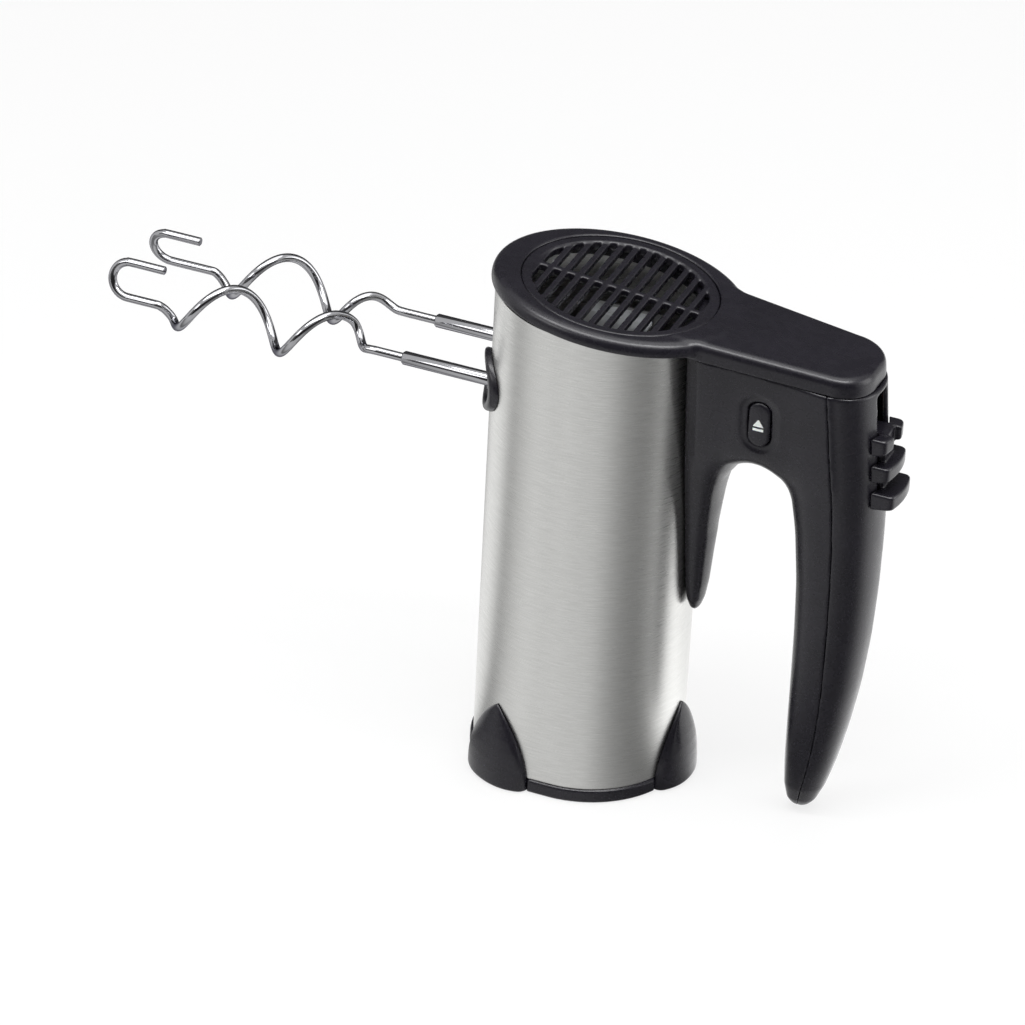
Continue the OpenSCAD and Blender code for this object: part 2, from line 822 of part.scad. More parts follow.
module stator_core() {
  color(iron) difference() {
    translate([0, 0, stator_low]) linear_extrude(stator_h) difference() {
      square([2 * stator_x, 2 * stator_y], center = true);
      circle(armature_r + 0.6);
      for (s = [-1, 1]) translate([s * (armature_r - 1), 0]) square([9, 2 * armature_r], center = true);
    }
    for (p = bolts) post(p, stator_low - 1, stator_high + 1, bolt_r + 0.3);
  }
}

module field_coils() {
  half_y = armature_r - 0.5;
  z0 = stator_low - coil_h - 1;
  z1 = stator_high + coil_h + 1;
  color(copper) for (s = [-1, 1]) difference() {
    translate([s * (armature_r + 1.2), 0, 0]) difference() {
      block([-2.1, -half_y, z0], [2.1, half_y, z1]);
      block([-3, 2.5 - half_y, stator_low - 0.4], [3, half_y - 2.5, stator_high + 0.4]);
    }
    post([0, 0], z0 - 1, z1 + 1, armature_r + 0.8);
  }
}

module motor_cradle() {
  z1 = cradle_z + cradle_h;
  color(dark) difference() {
    union() {
      difference() {
        oval_block(inner_r - seat, cradle_z, z1);
        // air ways
        for (s = [-1, 1]) translate([24 * s, 0, 0]) block([-5, -16, cradle_z - 1], [5, 16, z1 + 1]);
        for (s = [-1, 1]) translate([0, 28 * s, 0]) block([-10, -6, cradle_z - 1], [10, 6, z1 + 1]);
      }
      for (p = bolts) post(p, cradle_z, stator_low - seat, column_r);
      for (p = screw_posts) post(p, base_floor + seat, cradle_z + 1, post_r);
    }
    post([0, 0], bearing_z, z1 + 1, bearing_r + run);
    post([0, 0], cradle_z - 1, z1, shaft_r + 1);
    for (p = screw_posts) post(p, 0, 16, bolt_r);
    for (p = bolts) {
      post(p, cradle_z - 1, stator_low, bolt_r + 0.3);
      post(p, cradle_z - 1, cradle_z + 3, 3);
    }
  }
}

module stator_bolts() {
  color(chrome) for (p = bolts) {
    post(p, cradle_z + 1, stator_high + 13, bolt_r);
    post(p, cradle_z + 0.6, cradle_z + 2.8, 2.7);
  }
}

module brush_holders() {
  half_y = brush[1] / 2 + 1.2;
  foot_z = cradle_z + cradle_h + seat;
  color([0.62, 0.48, 0.2]) for (turn = [0, 180]) rotate(turn) difference() {
    union() {
      block([11.4, -half_y, brush_z - 1.2], [28, half_y, brush_z + brush[2] + 1.2]);
      for (x = [14, 22]) block([x - 2, -half_y, foot_z], [x + 2, half_y, brush_z]);
    }
    block([5, -brush[1] / 2, brush_z], [27, brush[1] / 2, brush_z + brush[2]]);
  }
}

module carbon_brushes() {
  color(dark) for (turn = [0, 180]) rotate(turn) difference() {
    block([9, run - brush[1] / 2, brush_z + run],
      [9 + brush[0], brush[1] / 2 - run, brush_z + brush[2] - run]);
    post([0, 0], brush_z - 1, brush_z + 9, commutator_r + run);
  }
}

module base_screws() {
  color(chrome) for (p = screw_posts) {
    post(p, 0.6, 12.6, bolt_r - 0.1);
    post(p, 0.3, 1.1, 3);
  }
}

// ---- dough hooks ----
module hook_shank(s) {
  color(chrome) {
    along_x(shank_front, shank_end, s * side_y, spindle_z, shank_d / 2);
    for (a = [0, 90]) translate([0, s * side_y, spindle_z]) rotate([a, 0, 0])
      block([hub_front + 1, -wing_r, -wing_w / 2], [hub_front + mouth_depth - 1, wing_r, wing_w / 2]);
  }
}
module hook_shank_left() { hook_shank(-1); }
module hook_shank_right() { hook_shank(1); }

// Centre line of a hook: straight lead, spiral, lower arm, round end and upper arm. Distances run
// forwards from the shank's front end. turn0 is the spiral's angle at turn_at, and the spiral
// opens out between grow[0] and grow[1].
turn_at = 18.5;
function hook_path(s, turn0, grow, coil_end, arm_from, bend_at, arm_end, tilt) = let (
    start = [shank_front, s * side_y, spindle_z],
    lift = -0.26 * end_gap,
    up = [0, cos(tilt), sin(tilt)],
    spiral = function (d) let (
        a = turn0 + 360 * (d - turn_at) / coil_pitch,
        r = coil_r * ease((d - grow[0]) / (grow[1] - grow[0])))
      start + [-d, 0, 0] + r * [0, cos(a), sin(a)],
    arm = function (d, h) start + [-d, 0, 0] + h * up,
    lead = [for (d = [0, grow[0] - 6, grow[0] - 2]) start - [d, 0, 0]],
    steps = ceil((coil_end - grow[0]) / 2),
    coil = [for (i = [1:steps]) spiral(grow[0] + (coil_end - grow[0]) * i / steps)],
    down = [for (t = [0.3, 0.6, 0.85])
      (1 - ease(t)) * spiral(coil_end + 3 * t) + ease(t) * arm(arm_from - 4 * (1 - t), lift)],
    lower = [arm(arm_from, lift), arm((arm_from + bend_at) / 2, lift)],
    bend = [for (a = [0:15:180])
      arm(bend_at + end_gap / 2 * sin(a), lift + end_gap / 2 * (1 - cos(a)))])
  concat(lead, coil, down, lower, bend, [arm(arm_end, lift + end_gap)]);

module dough_hook_left() {
  path = hook_path(-1, 327.5, [14.5, 27.5], 105.5, 112.5, 126.7, 110.9, 76);
  color(chrome) rod(path, wire_d / 2, 10);
}

module dough_hook_right() {
  path = hook_path(1, 35.8, [15.5, 40.5], 95.5, 103.5, 123.3, 108.1, 104);
  color(chrome) rod(path, wire_d / 2, 10);
}

// ---- eject mechanism ----
module eject_button() {
  color(black) difference() {
    union() {
      at_button(button_y) button_shape(button_w, button_l, button_h);
      at_button(flange_y) button_shape(button_w + 2 * flange, button_l + 2 * flange, 1.6);
      block([button_x - 4, button_y + 5, button_z - stem_h / 2],
        [button_x + 6, 3.5, button_z + stem_h / 2]);
    }
    ramp_side(ramp_x, 8);
  }
}

// Everything on the tube's side of the 45 degree ramp between the button and the ejector
module ramp_side(x, h) {
  translate([0, 0, button_z - h / 2]) linear_extrude(h)
    polygon([[x - 14, -14], [x + 12, 12], [0, 12], [0, -14]]);
}

module eject_slide() {
  plate_x = hub_back + eject_travel + 1;
  plate_y = side_y + 5;
  plate_t = 2;
  low = button_z - stem_h / 2;
  color([0.55, 0.55, 0.57]) {
    block([plate_x, -plate_y, spindle_z - 5], [plate_x + plate_t, plate_y, spindle_z + 5]);
    block([plate_x, -4, spindle_z + 4], [plate_x + plate_t, 4, low + stem_h]);
    intersection() {
      block([plate_x, -bar_half_w, low], [button_x + 12, bar_half_w, low + stem_h]);
      ramp_side(ramp_x - 0.4, 20);
    }
  }
}

module eject_spring() {
  turns = 4;
  steps = 16 * turns;
  length = 8 - eject_travel;
  y0 = spring_seat - 2 * spring_wire;
  color(steel) rod([for (i = [0:steps]) let (a = i * 22.5)
    [button_x + spring_r * cos(a), y0 - length * i / steps, button_z - 14 + spring_r * sin(a)]],
    spring_wire, 6);
}

// ---- speed control ----
module speed_slider() {
  faces = [91.4, 88.5, 86.6];
  color(black) difference() {
    union() {
      for (i = [0:2]) fin(back_x + faces[i], slider_high - (2 - i) * fin_step);
      block([slider_foot_x, -slider_neck, slider_low],
        [slider_foot_x + 11.8, slider_neck, slider_high]);
      block([slider_foot_x + 5, -7.5, slider_low], [slider_foot_x + 12.2, 7.5, slider_high - 1]);
    }
    // hollow that clears the handle's crowned back
    difference() {
      loft(above(grip, 100), -0.45);
      block([slider_foot_x - 7, -slider_neck, 0], [slider_foot_x + 23, slider_neck, body_h]);
    }
    // gap between the two pads of the top fin
    block([slider_foot_x + 9.6, -4, slider_high - fin_root_h - 1],
      [slider_foot_x + 25, 4, slider_high + 1]);
  }
}

// One fin, flat on top, with its underside sloping up to the outer edge
module fin(x, top) {
  intersection() {
    translate([0, 0, top - 20]) linear_extrude(20) fin_outline(x);
    translate([0, big / 2, 0]) rotate([90, 0, 0]) linear_extrude(big) polygon([
      [slider_foot_x - 1, top], [x + 1, top], [x + 1, top - fin_h],
      [slider_foot_x + 6, top - fin_root_h], [slider_foot_x - 1, top - fin_root_h]
    ]);
  }
}

// The face bulges by fin_bulge over the fin's width
module fin_outline(x) {
  r = 1.2;
  bow_r = (fin_half_w * fin_half_w + fin_bulge * fin_bulge) / (2 * fin_bulge);
  turn = asin((fin_half_w - r) / bow_r);
  bow = arc([x - bow_r, 0], bow_r, -turn, turn, 16);
  corner_x = bow[0][0] - r * cos(turn);
  polygon(concat([[slider_foot_x, -fin_half_w]], arc([corner_x, r - fin_half_w], r, -90, -30, 3),
    bow, arc([corner_x, fin_half_w - r], r, 30, 90, 3), [[slider_foot_x, fin_half_w]]));
}

module slider_carriage() {
  color(nylon) {
    block([carriage_x, -8.5, slider_low - 3], [slider_foot_x - 0.1, 8.5, slider_high + 3]);
    along_x(carriage_x - 6.6, carriage_x + 1, 0, pin_z, 2);
  }
}

module speed_switch() {
  color([0.3, 0.3, 0.32]) difference() {
    block([switch_front, -9, switch_low], [switch_back, 9, slider_top + 1.2]);
    // slot that the carriage's pin runs in
    block([carriage_x - 8.6, -2.3, pin_z - 3], [carriage_x, 2.3, pin_z + slide_travel + 3]);
  }
}

module speed_scale() {
  low = pin_z + slide_travel + 2.5;
  color([0.9, 0.9, 0.88]) block([switch_back + 0.1, -6, low], [switch_back + 0.9, 6, low + 16]);
}

body_tube();
top_cover();
vent_grille();
handle_body();
handle_back_cover();
base_cover();
claw_foot_handle();
claw_foot_left();
claw_foot_right();
foot_pads();
cord_grommet();
socket_bezel_left();
socket_bezel_right();
gearbox_case();
gearbox_cover();
gearbox_bracket();
gearbox_screws();
worm_wheel_left();
worm_wheel_right();
shaft_with_worm();
armature_core();
armature_windings();
commutator();
cooling_fan();
bearing_lower();
bearing_upper();
stator_core();
field_coils();
motor_cradle();
stator_bolts();
brush_holders();
carbon_brushes();
base_screws();
hook_shank_left();
hook_shank_right();
dough_hook_left();
dough_hook_right();
eject_button();
eject_spring();
eject_slide();
speed_slider();
slider_carriage();
speed_switch();
speed_scale();
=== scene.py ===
"""Looks of the hand mixer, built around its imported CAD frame.

Shapes are worked out in millimetres in the CAD frame and turned into metres as each mesh is made.
Smooth mouldings are solid fields, negative inside, that sculpt() turns into a mesh.
"""

import math

import bmesh
import bpy
import numpy as np
from mathutils import Matrix, Vector

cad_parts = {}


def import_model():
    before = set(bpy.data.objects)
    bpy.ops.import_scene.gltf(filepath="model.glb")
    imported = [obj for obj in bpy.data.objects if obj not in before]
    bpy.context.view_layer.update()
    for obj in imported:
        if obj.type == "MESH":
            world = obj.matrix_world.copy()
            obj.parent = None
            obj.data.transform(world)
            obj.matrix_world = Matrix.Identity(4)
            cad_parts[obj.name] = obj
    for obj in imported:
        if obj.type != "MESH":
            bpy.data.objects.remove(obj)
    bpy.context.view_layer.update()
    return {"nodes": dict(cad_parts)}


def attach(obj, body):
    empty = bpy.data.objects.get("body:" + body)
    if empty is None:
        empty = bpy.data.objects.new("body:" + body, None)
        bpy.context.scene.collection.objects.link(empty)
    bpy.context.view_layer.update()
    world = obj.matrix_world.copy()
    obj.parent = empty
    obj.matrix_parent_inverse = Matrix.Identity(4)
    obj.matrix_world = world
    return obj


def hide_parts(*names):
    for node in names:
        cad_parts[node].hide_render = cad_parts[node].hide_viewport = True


MM = 0.001

# ---- sizes that part.scad sets ----
TUBE_R = 42.0
END_X = 3.4
BACK_X = TUBE_R + END_X
INNER_R = 41.0
BODY_H = 229.6
TILT = math.radians(4.3)
SEAT = 0.15
SLIDE = 0.3
SPINDLE_Z = 180.0
SIDE_Y = 17.5
SOCKET_R = 11.0
SHANK_R = 2.95
SHANK_FRONT = -81.5
SHANK_END = 13.6
WIRE_R = 1.85
COIL_R = 10.8
COIL_PITCH = 47.0
END_GAP = 15.5
TURN_AT = 18.5
CAP_RIM = 6.2
PLATE_EDGE = 8.3
PLATE_FLARE = 1.4
CAP_X = 7.1
CAP_HALF_L = BACK_X + 9.2
CAP_HALF_W = 44.3
GRILLE_HALF_L = CAP_HALF_L - 12.8
GRILLE_HALF_W = CAP_HALF_W - 6.5
GRILLE_H = 4.0
GRILLE_SINK = 0.4
PLATE_HALF_W = 25.6
PLATE_END_HALF_W = 20.7
PLATE_END_X = BACK_X + 76.4
PLATE_CORNER = 16.0
HANDLE_WALL = 2.4
COLLAR_WALL = 2.2
COLLAR_H = 6.0
BASE_H = 6.0
BASE_PROUD = 1.3
CLAW_H = 36.5
CLAW_HALF_W = 17.6
CLAW_PROUD = 7.4
CLAW_ANGLES = {"claw_foot_handle": 0, "claw_foot_right": 118, "claw_foot_left": -118}
SCREW_POSTS = [(-26, 0), (18, 22), (18, -22)]
BUTTON_X = BACK_X + 32.6
BUTTON_Z = 191.5
BUTTON_Y = -20.2
BUTTON_W = 9.6
BUTTON_L = 20.6
SLIDER_FOOT_X = BACK_X + 71.6
SLIDER_HIGH = 192.4
SLIDER_LOW = 158.7
SLIDER_TOP = 209.0
SLIDER_NECK = 5.2
FIN_STEP = 12.6
FIN_H = 6.3
FIN_ROOT_H = 8.5
FIN_HALF_W = 11.0
FIN_BULGE = 1.8
FIN_FACES = [91.4, 88.5, 86.6]

# Sections of the grip and of the short leg, each [z, front x, widest x, back x, half width],
# with x measured from BACK_X
GRIP = np.array([
    [1.5, 53.6, 56.6, 60.2, 3], [5, 51.2, 57.2, 63.3, 5.6], [13, 49.8, 59.1, 66.9, 8.6],
    [26, 49.4, 62.1, 70.8, 11], [45, 49.5, 64.9, 75, 12.8], [66, 49.7, 66.6, 78.6, 14.3],
    [90, 49.8, 67.4, 81.2, 15.6], [115, 49.2, 67.6, 82.5, 16.6], [140, 47.1, 67.3, 82.8, 17.6],
    [165, 42.6, 65.9, 82.3, 18.6], [190, 38.6, 63.4, 80.4, 19.6], [219, 38.6, 60.6, 77.8, 20.5],
])
LEG = np.array([
    [85, 2.1, 4.1, 5.6, 3.4], [90, 0.6, 3.6, 7.2, 5.6], [98, -0.4, 3.6, 8.4, 7.3],
    [112, -1.4, 3.6, 9.4, 8.6], [128, -2.4, 4.1, 10.8, 10.2], [146, -3.4, 4.6, 14.2, 12.8],
    [166, -3.4, 5.6, 20.6, 16.4], [190, -3.4, 6.6, 26.6, 20], [219, -3.4, 6.6, 30.6, 23.4],
])
ARCH = dict(x=BACK_X + 30.6, z=138.0, half_w=18.0, rise=30.0)
BRIDGE_LOW = 154.0

# ---- values of the shapes ----
SIDES = {"left": -1, "right": 1}
# A field value that is clear of any solid
OUTSIDE = 5.0
# Powers of the handle's rounded sections, towards the back and towards the fingers
BACK_POWER = 2.15
FRONT_POWER = 2.9
# Where the arch fades out down the leg
FADE_FROM = 126
FADE_OVER = 24
FADE_DEPTH = 14.0
# The handle is hollow from here up, but for the tip of its short leg
HOLLOW_FROM = 26
SOLID_LEG_X = BACK_X + 18
SOLID_LEG_Z = 130
# The dish round the eject button
DISH_REACH = 4.6
DISH_SOFT = 2.6
DISH_DEPTH = 0.9
SEAM_GAP = 0.02
SEAM_ROUND = 0.35
WINDOW_RISE = 5
CORD_Z = 24
CORD_HOLE_R = 7
GRILLE_SLOTS = 12
SLOT_HALF = 1.75
SPINE_HALF = 1.35
# How much slower than true distance a claw's bowed faces and its sides fall away
CLAW_LEAN = 0.93
CLAW_SIDE_LEAN = 0.86
BEZEL_R = 13.0
BEZEL_SLEEVE_R = 10.85
BEZEL_BORE_R = 9.4
BEZEL_PROUD = 3.0
WIRE_CHAMFER = 0.35
WING_X = (-38.0, -32.0)
WING_REACH = 4.6
WING_HALF = 0.8
WING_CORNER = 1
SHARP_ANGLE = math.radians(40)


# ---- fields ----
def smin(a, b, k):
    """The lower of two fields, blended over k."""
    h = np.clip(0.5 + 0.5 * (b - a) / k, 0, 1)
    return b + (a - b) * h - k * h * (1 - h)


def smax(a, b, k):
    """The higher of two fields, blended over k."""
    return -smin(-a, -b, k)


def cut(a, b, k):
    """Field a with the solid b taken out of it."""
    return smax(a, -b, k)


def ease(t):
    t = np.clip(t, 0, 1)
    return t * t * (3 - 2 * t)


def oval(x, y, r):
    """Distance outside the oval of the motor tube, with end radius r."""
    return np.hypot(np.maximum(np.abs(x) - END_X, 0), y) - r


def box2(x, y, half_x, half_y, r=0.0):
    dx = np.abs(x) - half_x + r
    dy = np.abs(y) - half_y + r
    return np.hypot(np.maximum(dx, 0), np.maximum(dy, 0)) + np.minimum(np.maximum(dx, dy), 0) - r


def stadium(x, y, w, l):
    """Distance outside a slot shape that is w wide in x and l long in y."""
    return np.hypot(x, np.maximum(np.abs(y) - (l - w) / 2, 0)) - w / 2


def ellipse(x, y, a, b):
    g = np.sqrt((x / a) ** 2 + (y / b) ** 2)
    slope = np.sqrt((x / a**2) ** 2 + (y / b**2) ** 2) / np.maximum(g, 1e-3)
    return (g - 1) / np.maximum(slope, 1 / a)


def top_depth(x, z):
    """How deep a point lies below the sloping top surface."""
    return -(x * math.sin(TILT) + (z - BODY_H) * math.cos(TILT))


def grid(low, high, step):
    axes = [np.arange(a, b + step, step, dtype=np.float32) for a, b in zip(low, high)]
    return np.meshgrid(*axes, indexing="ij", sparse=True)


def sample(field, p, low, step):
    """Field values at points p, from the eight grid values round each."""
    q = (p - low) / step
    top = np.array(field.shape) - 1.001
    q = np.clip(q, 0, top)
    i = q.astype(int)
    f = q - i
    out = 0
    for corner in range(8):
        c = np.array([corner & 1, corner >> 1 & 1, corner >> 2 & 1])
        weight = np.prod(np.where(c, f, 1 - f), axis=1)
        out = out + weight * field[i[:, 0] + c[0], i[:, 1] + c[1], i[:, 2] + c[2]]
    return out


def surface(field, low, step):
    """Vertices and quads of the field's zero surface, one vertex to each cell that it crosses."""
    inside = field < 0
    cells = tuple(n - 1 for n in field.shape)
    total = np.zeros(cells + (3,), np.float32)
    count = np.zeros(cells, np.float32)
    edges = []
    for axis in range(3):
        near = [slice(None)] * 3
        far = [slice(None)] * 3
        near[axis], far[axis] = slice(None, -1), slice(1, None)
        a, b = field[tuple(near)], field[tuple(far)]
        cross = np.argwhere(inside[tuple(near)] != inside[tuple(far)])
        fa = a[tuple(cross.T)]
        fb = b[tuple(cross.T)]
        point = cross.astype(np.float32)
        point[:, axis] += fa / (fa - fb)
        o1, o2 = [k for k in range(3) if k != axis]
        keep = (cross[:, o1] > 0) & (cross[:, o2] > 0)
        keep &= (cross[:, o1] < cells[o1]) & (cross[:, o2] < cells[o2])
        cross, point, fa = cross[keep], point[keep], fa[keep]
        around = []
        for d1, d2 in ((0, 0), (-1, 0), (-1, -1), (0, -1)):
            c = cross.copy()
            c[:, o1] += d1
            c[:, o2] += d2
            np.add.at(total, tuple(c.T), point)
            np.add.at(count, tuple(c.T), 1)
            around.append(np.ravel_multi_index(c.T, cells))
        quad = np.stack(around, axis=1)
        flip = (fa < 0) == (axis == 1)
        quad[flip] = quad[flip][:, ::-1]
        edges.append(quad)
    quads = np.concatenate(edges)
    used, quads = np.unique(quads, return_inverse=True)
    quads = quads.reshape(-1, 4)
    verts = total.reshape(-1, 3)[used] / count.reshape(-1)[used][:, None] * step + low
    slope = [g.astype(np.float32) for g in np.gradient(field, step)]
    links = np.concatenate([quads[:, [k, (k + 1) % 4]] for k in range(4)])
    # two rounds of evening out, and after each round and at the end a slide back to the zero
    for turn in range(3):
        if turn < 2:
            near_sum = np.zeros_like(verts)
            near_count = np.zeros(len(verts))
            np.add.at(near_sum, links[:, 0], verts[links[:, 1]])
            np.add.at(near_count, links[:, 0], 1)
            verts = 0.5 * verts + 0.5 * near_sum / near_count[:, None]
        for _ in range(2):
            g = np.stack([sample(s, verts, low, step) for s in slope], axis=1)
            f = sample(field, verts, low, step)
            # where the slope is faint its square counts as 0.2, which keeps the slide short
            move = f[:, None] * g / np.maximum((g * g).sum(1), 0.2)[:, None]
            verts = verts - np.clip(move, -0.5 * step, 0.5 * step)
    return verts, quads


# ---- pieces ----
def new_mesh(name, verts, quads):
    """A mesh from vertices in millimetres and an array of faces with equally many corners."""
    me = bpy.data.meshes.new(name)
    sides = quads.shape[1]
    me.vertices.add(len(verts))
    me.vertices.foreach_set("co", (verts * MM).astype(np.float32).ravel())
    me.loops.add(quads.size)
    me.loops.foreach_set("vertex_index", quads.astype(np.int32).ravel())
    me.polygons.add(len(quads))
    me.polygons.foreach_set("loop_start", np.arange(0, quads.size, sides, dtype=np.int32))
    me.polygons.foreach_set("use_smooth", np.ones(len(quads), bool))
    me.update(calc_edges=True)
    me.validate()
    return link_new(name, me)


def link_new(name, data):
    """Puts a mesh, a lamp or a camera in the scene."""
    ob = bpy.data.objects.new(name, data)
    bpy.context.scene.collection.objects.link(ob)
    return ob


def from_bmesh(name, bm):
    me = bpy.data.meshes.new(name)
    bm.to_mesh(me)
    bm.free()
    return link_new(name, me)


def new_ring(bm, points):
    """Bmesh vertices at points given in millimetres."""
    return [bm.verts.new(Vector(p) * MM) for p in points]


def join_rings(bm, a, b):
    """Quads between two rings of as many bmesh vertices."""
    for k in range(len(a)):
        n = (k + 1) % len(a)
        bm.faces.new([a[k], a[n], b[n], b[k]])


def band_faces(starts, count):
    """Quads between rings of count vertices, each ring given by its first vertex's number."""
    faces = []
    for a, b in zip(starts, starts[1:]):
        for k in range(count):
            n = (k + 1) % count
            faces.append([a + k, a + n, b + n, b + k])
    return np.array(faces)


def reshape(ob, place):
    """Moves a mesh's vertices to place(x, y, z), in millimetres."""
    co = np.zeros(len(ob.data.vertices) * 3, np.float32)
    ob.data.vertices.foreach_get("co", co)
    moved = np.stack(place(*(co.reshape(-1, 3).T / MM)), axis=1)
    ob.data.vertices.foreach_set("co", (moved * MM).astype(np.float32).ravel())
    ob.data.update()


def paint(ob, slot):
    ob.data.materials.clear()
    ob.data.materials.append(MATERIALS[slot])


def dress(ob, body, slot, *nodes):
    """Gives a piece its body and its finish, and hides the CAD nodes that it stands for."""
    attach(ob, body)
    if nodes:
        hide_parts(*nodes)
    paint(ob, slot)


def sculpt(name, low, high, step, field):
    """The mesh of a field's solid in the box from low to high, closed where the box cuts it."""
    low = np.array(low, np.float32)
    x, y, z = grid(low, high, step)
    f = np.broadcast_to(field(x, y, z), (x.size, y.size, z.size)).astype(np.float32).copy()
    for axis in range(3):
        rim = np.moveaxis(f, axis, 0)
        rim[0] = np.maximum(rim[0], step)
        rim[-1] = np.maximum(rim[-1], step)
    return new_mesh(name, *surface(f, low, step))


def lathe(name, profile, centre, sides=64):
    """A solid turned about an axis along X: profile is [x, radius] from one end to the other."""
    a = np.arange(sides) * 2 * np.pi / sides
    verts = [[x, r * math.cos(t), r * math.sin(t)] for x, r in profile for t in a]
    verts = np.array(verts) + [0, centre[0], centre[1]]
    ob = new_mesh(name, verts, band_faces(range(0, len(verts), sides), sides))
    close_ends(ob)
    return ob


def close_ends(ob):
    bm = bmesh.new()
    bm.from_mesh(ob.data)
    open_edges = [e for e in bm.edges if e.is_boundary]
    bmesh.ops.holes_fill(bm, edges=open_edges, sides=0)
    bmesh.ops.recalc_face_normals(bm, faces=bm.faces)
    for face in bm.faces:
        face.smooth = len(face.verts) < 5
    bm.to_mesh(ob.data)
    bm.free()
    ob.data.set_sharp_from_angle(angle=SHARP_ANGLE)


def smooth_line(points, step):
    """Points a step apart along a smooth curve through the given ones."""
    p = np.array(points, float)
    out = []
    ends = np.vstack([2 * p[0] - p[1], p, 2 * p[-1] - p[-2]])
    for i in range(1, len(ends) - 2):
        a, b, c, d = ends[i - 1 : i + 3]
        n = max(1, int(round(np.linalg.norm(c - b) / step)))
        for t in np.arange(n) / n:
            out.append(0.5 * (2 * b + (c - a) * t + (2 * a - 5 * b + 4 * c - d) * t**2
                              + (3 * b - a - 3 * c + d) * t**3))
    out.append(p[-1])
    return np.array(out)


def sweep(name, path, radii, sides=28):
    """A round bar along a path, its frame carried from point to point so that it doesn't twist."""
    tangent = np.gradient(path, axis=0)
    tangent /= np.linalg.norm(tangent, axis=1)[:, None]
    side = np.cross(tangent[0], [0, 0, 1.0])
    side /= np.linalg.norm(side)
    verts = []
    a = np.arange(sides) * 2 * np.pi / sides
    for p, t, r in zip(path, tangent, radii):
        side = side - t * (side @ t)
        side /= np.linalg.norm(side)
        up = np.cross(t, side)
        verts.append(p + r * (np.cos(a)[:, None] * side + np.sin(a)[:, None] * up))
    verts = np.vstack(verts)
    ob = new_mesh(name, verts, band_faces(range(0, len(verts), sides), sides))
    close_ends(ob)
    return ob


# ---- materials ----
# The middle of a noise value's spread
NOISE_LOW = 0.3
NOISE_HIGH = 0.7


def fill_ramp(ramp, stops):
    """Gives a new colour ramp its stops, (position, colour), in rising order."""
    ramp.elements[0].position, ramp.elements[1].position = stops[0][0], stops[-1][0]
    for at, _ in stops[1:-1]:
        ramp.elements.new(at)
    for element, (at, color) in zip(ramp.elements, stops):
        element.color = (*color, 1)


class Paint:
    """One procedural material, with short names for the nodes used most."""

    def __init__(self, name, color, rough, metal=0.0, **sockets):
        self.mat = bpy.data.materials.new(name)
        self.mat.use_nodes = True
        self.tree = self.mat.node_tree
        self.bsdf = self.tree.nodes["Principled BSDF"]
        self.bsdf.inputs["Base Color"].default_value = (*color, 1)
        self.bsdf.inputs["Roughness"].default_value = rough
        self.bsdf.inputs["Metallic"].default_value = metal
        for key, value in sockets.items():
            self.bsdf.inputs[key.replace("_", " ")].default_value = value
        self.where = self.node("ShaderNodeTexCoord").outputs["Object"]
        self.mat.diffuse_color = (*color, 1)

    def node(self, kind, inputs=None, **settings):
        n = self.tree.nodes.new(kind)
        for key, value in settings.items():
            setattr(n, key, value)
        for key, value in (inputs or {}).items():
            n.inputs[key].default_value = value
        return n

    def link(self, a, b):
        self.tree.links.new(a, b)

    def scaled(self, x, y, z):
        n = self.node("ShaderNodeMapping", {"Scale": (x, y, z)})
        self.link(self.where, n.inputs["Vector"])
        return n.outputs["Vector"]

    def noise(self, scale, detail, at=None, rough=0.5):
        values = {"Scale": scale, "Detail": detail, "Roughness": rough}
        n = self.node("ShaderNodeTexNoise", values)
        self.link(at or self.where, n.inputs["Vector"])
        return n.outputs["Fac"]

    def spread(self, value, low, high):
        """Turns a noise value into a range round the middle of the noise."""
        ends = {"From Min": NOISE_LOW, "From Max": NOISE_HIGH, "To Min": low, "To Max": high}
        n = self.node("ShaderNodeMapRange", ends)
        self.link(value, n.inputs["Value"])
        return n.outputs["Result"]

    def ramp(self, value, stops):
        n = self.node("ShaderNodeValToRGB")
        fill_ramp(n.color_ramp, stops)
        self.link(value, n.inputs["Fac"])
        return n.outputs["Color"]

    def color(self, value):
        self.link(value, self.bsdf.inputs["Base Color"])

    def drift(self, value, low, high):
        """Colours the piece from low to high with a noise value."""
        self.color(self.ramp(value, [(NOISE_LOW, low), (NOISE_HIGH, high)]))

    def rough(self, value):
        self.link(value, self.bsdf.inputs["Roughness"])

    def bump(self, value, depth, strength=1.0):
        """Adds a bump of the given depth, in metres, on top of those before it."""
        n = self.node("ShaderNodeBump", {"Distance": depth, "Strength": strength})
        self.link(value, n.inputs["Height"])
        earlier = self.bsdf.inputs["Normal"].links
        if earlier:
            self.link(earlier[0].from_socket, n.inputs["Normal"])
        self.link(n.outputs["Normal"], self.bsdf.inputs["Normal"])


def moulded(name, color, rough, grain=0.000004, scale=3200.0):
    """Moulded plastic: a fine spark-eroded grain, faint sheen changes and slow colour drift."""
    m = Paint(name, color, rough, Specular_IOR_Level=0.34)
    darker = tuple(c * 0.86 for c in color)
    lighter = tuple(min(1.0, c * 1.12 + 0.0005) for c in color)
    m.drift(m.noise(55, 4), darker, lighter)
    m.rough(m.spread(m.noise(260, 3), rough - 0.03, rough + 0.04))
    m.bump(m.noise(scale, 2), grain, 0.5)
    m.bump(m.noise(34, 2), 0.00004, 0.3)
    return m.mat


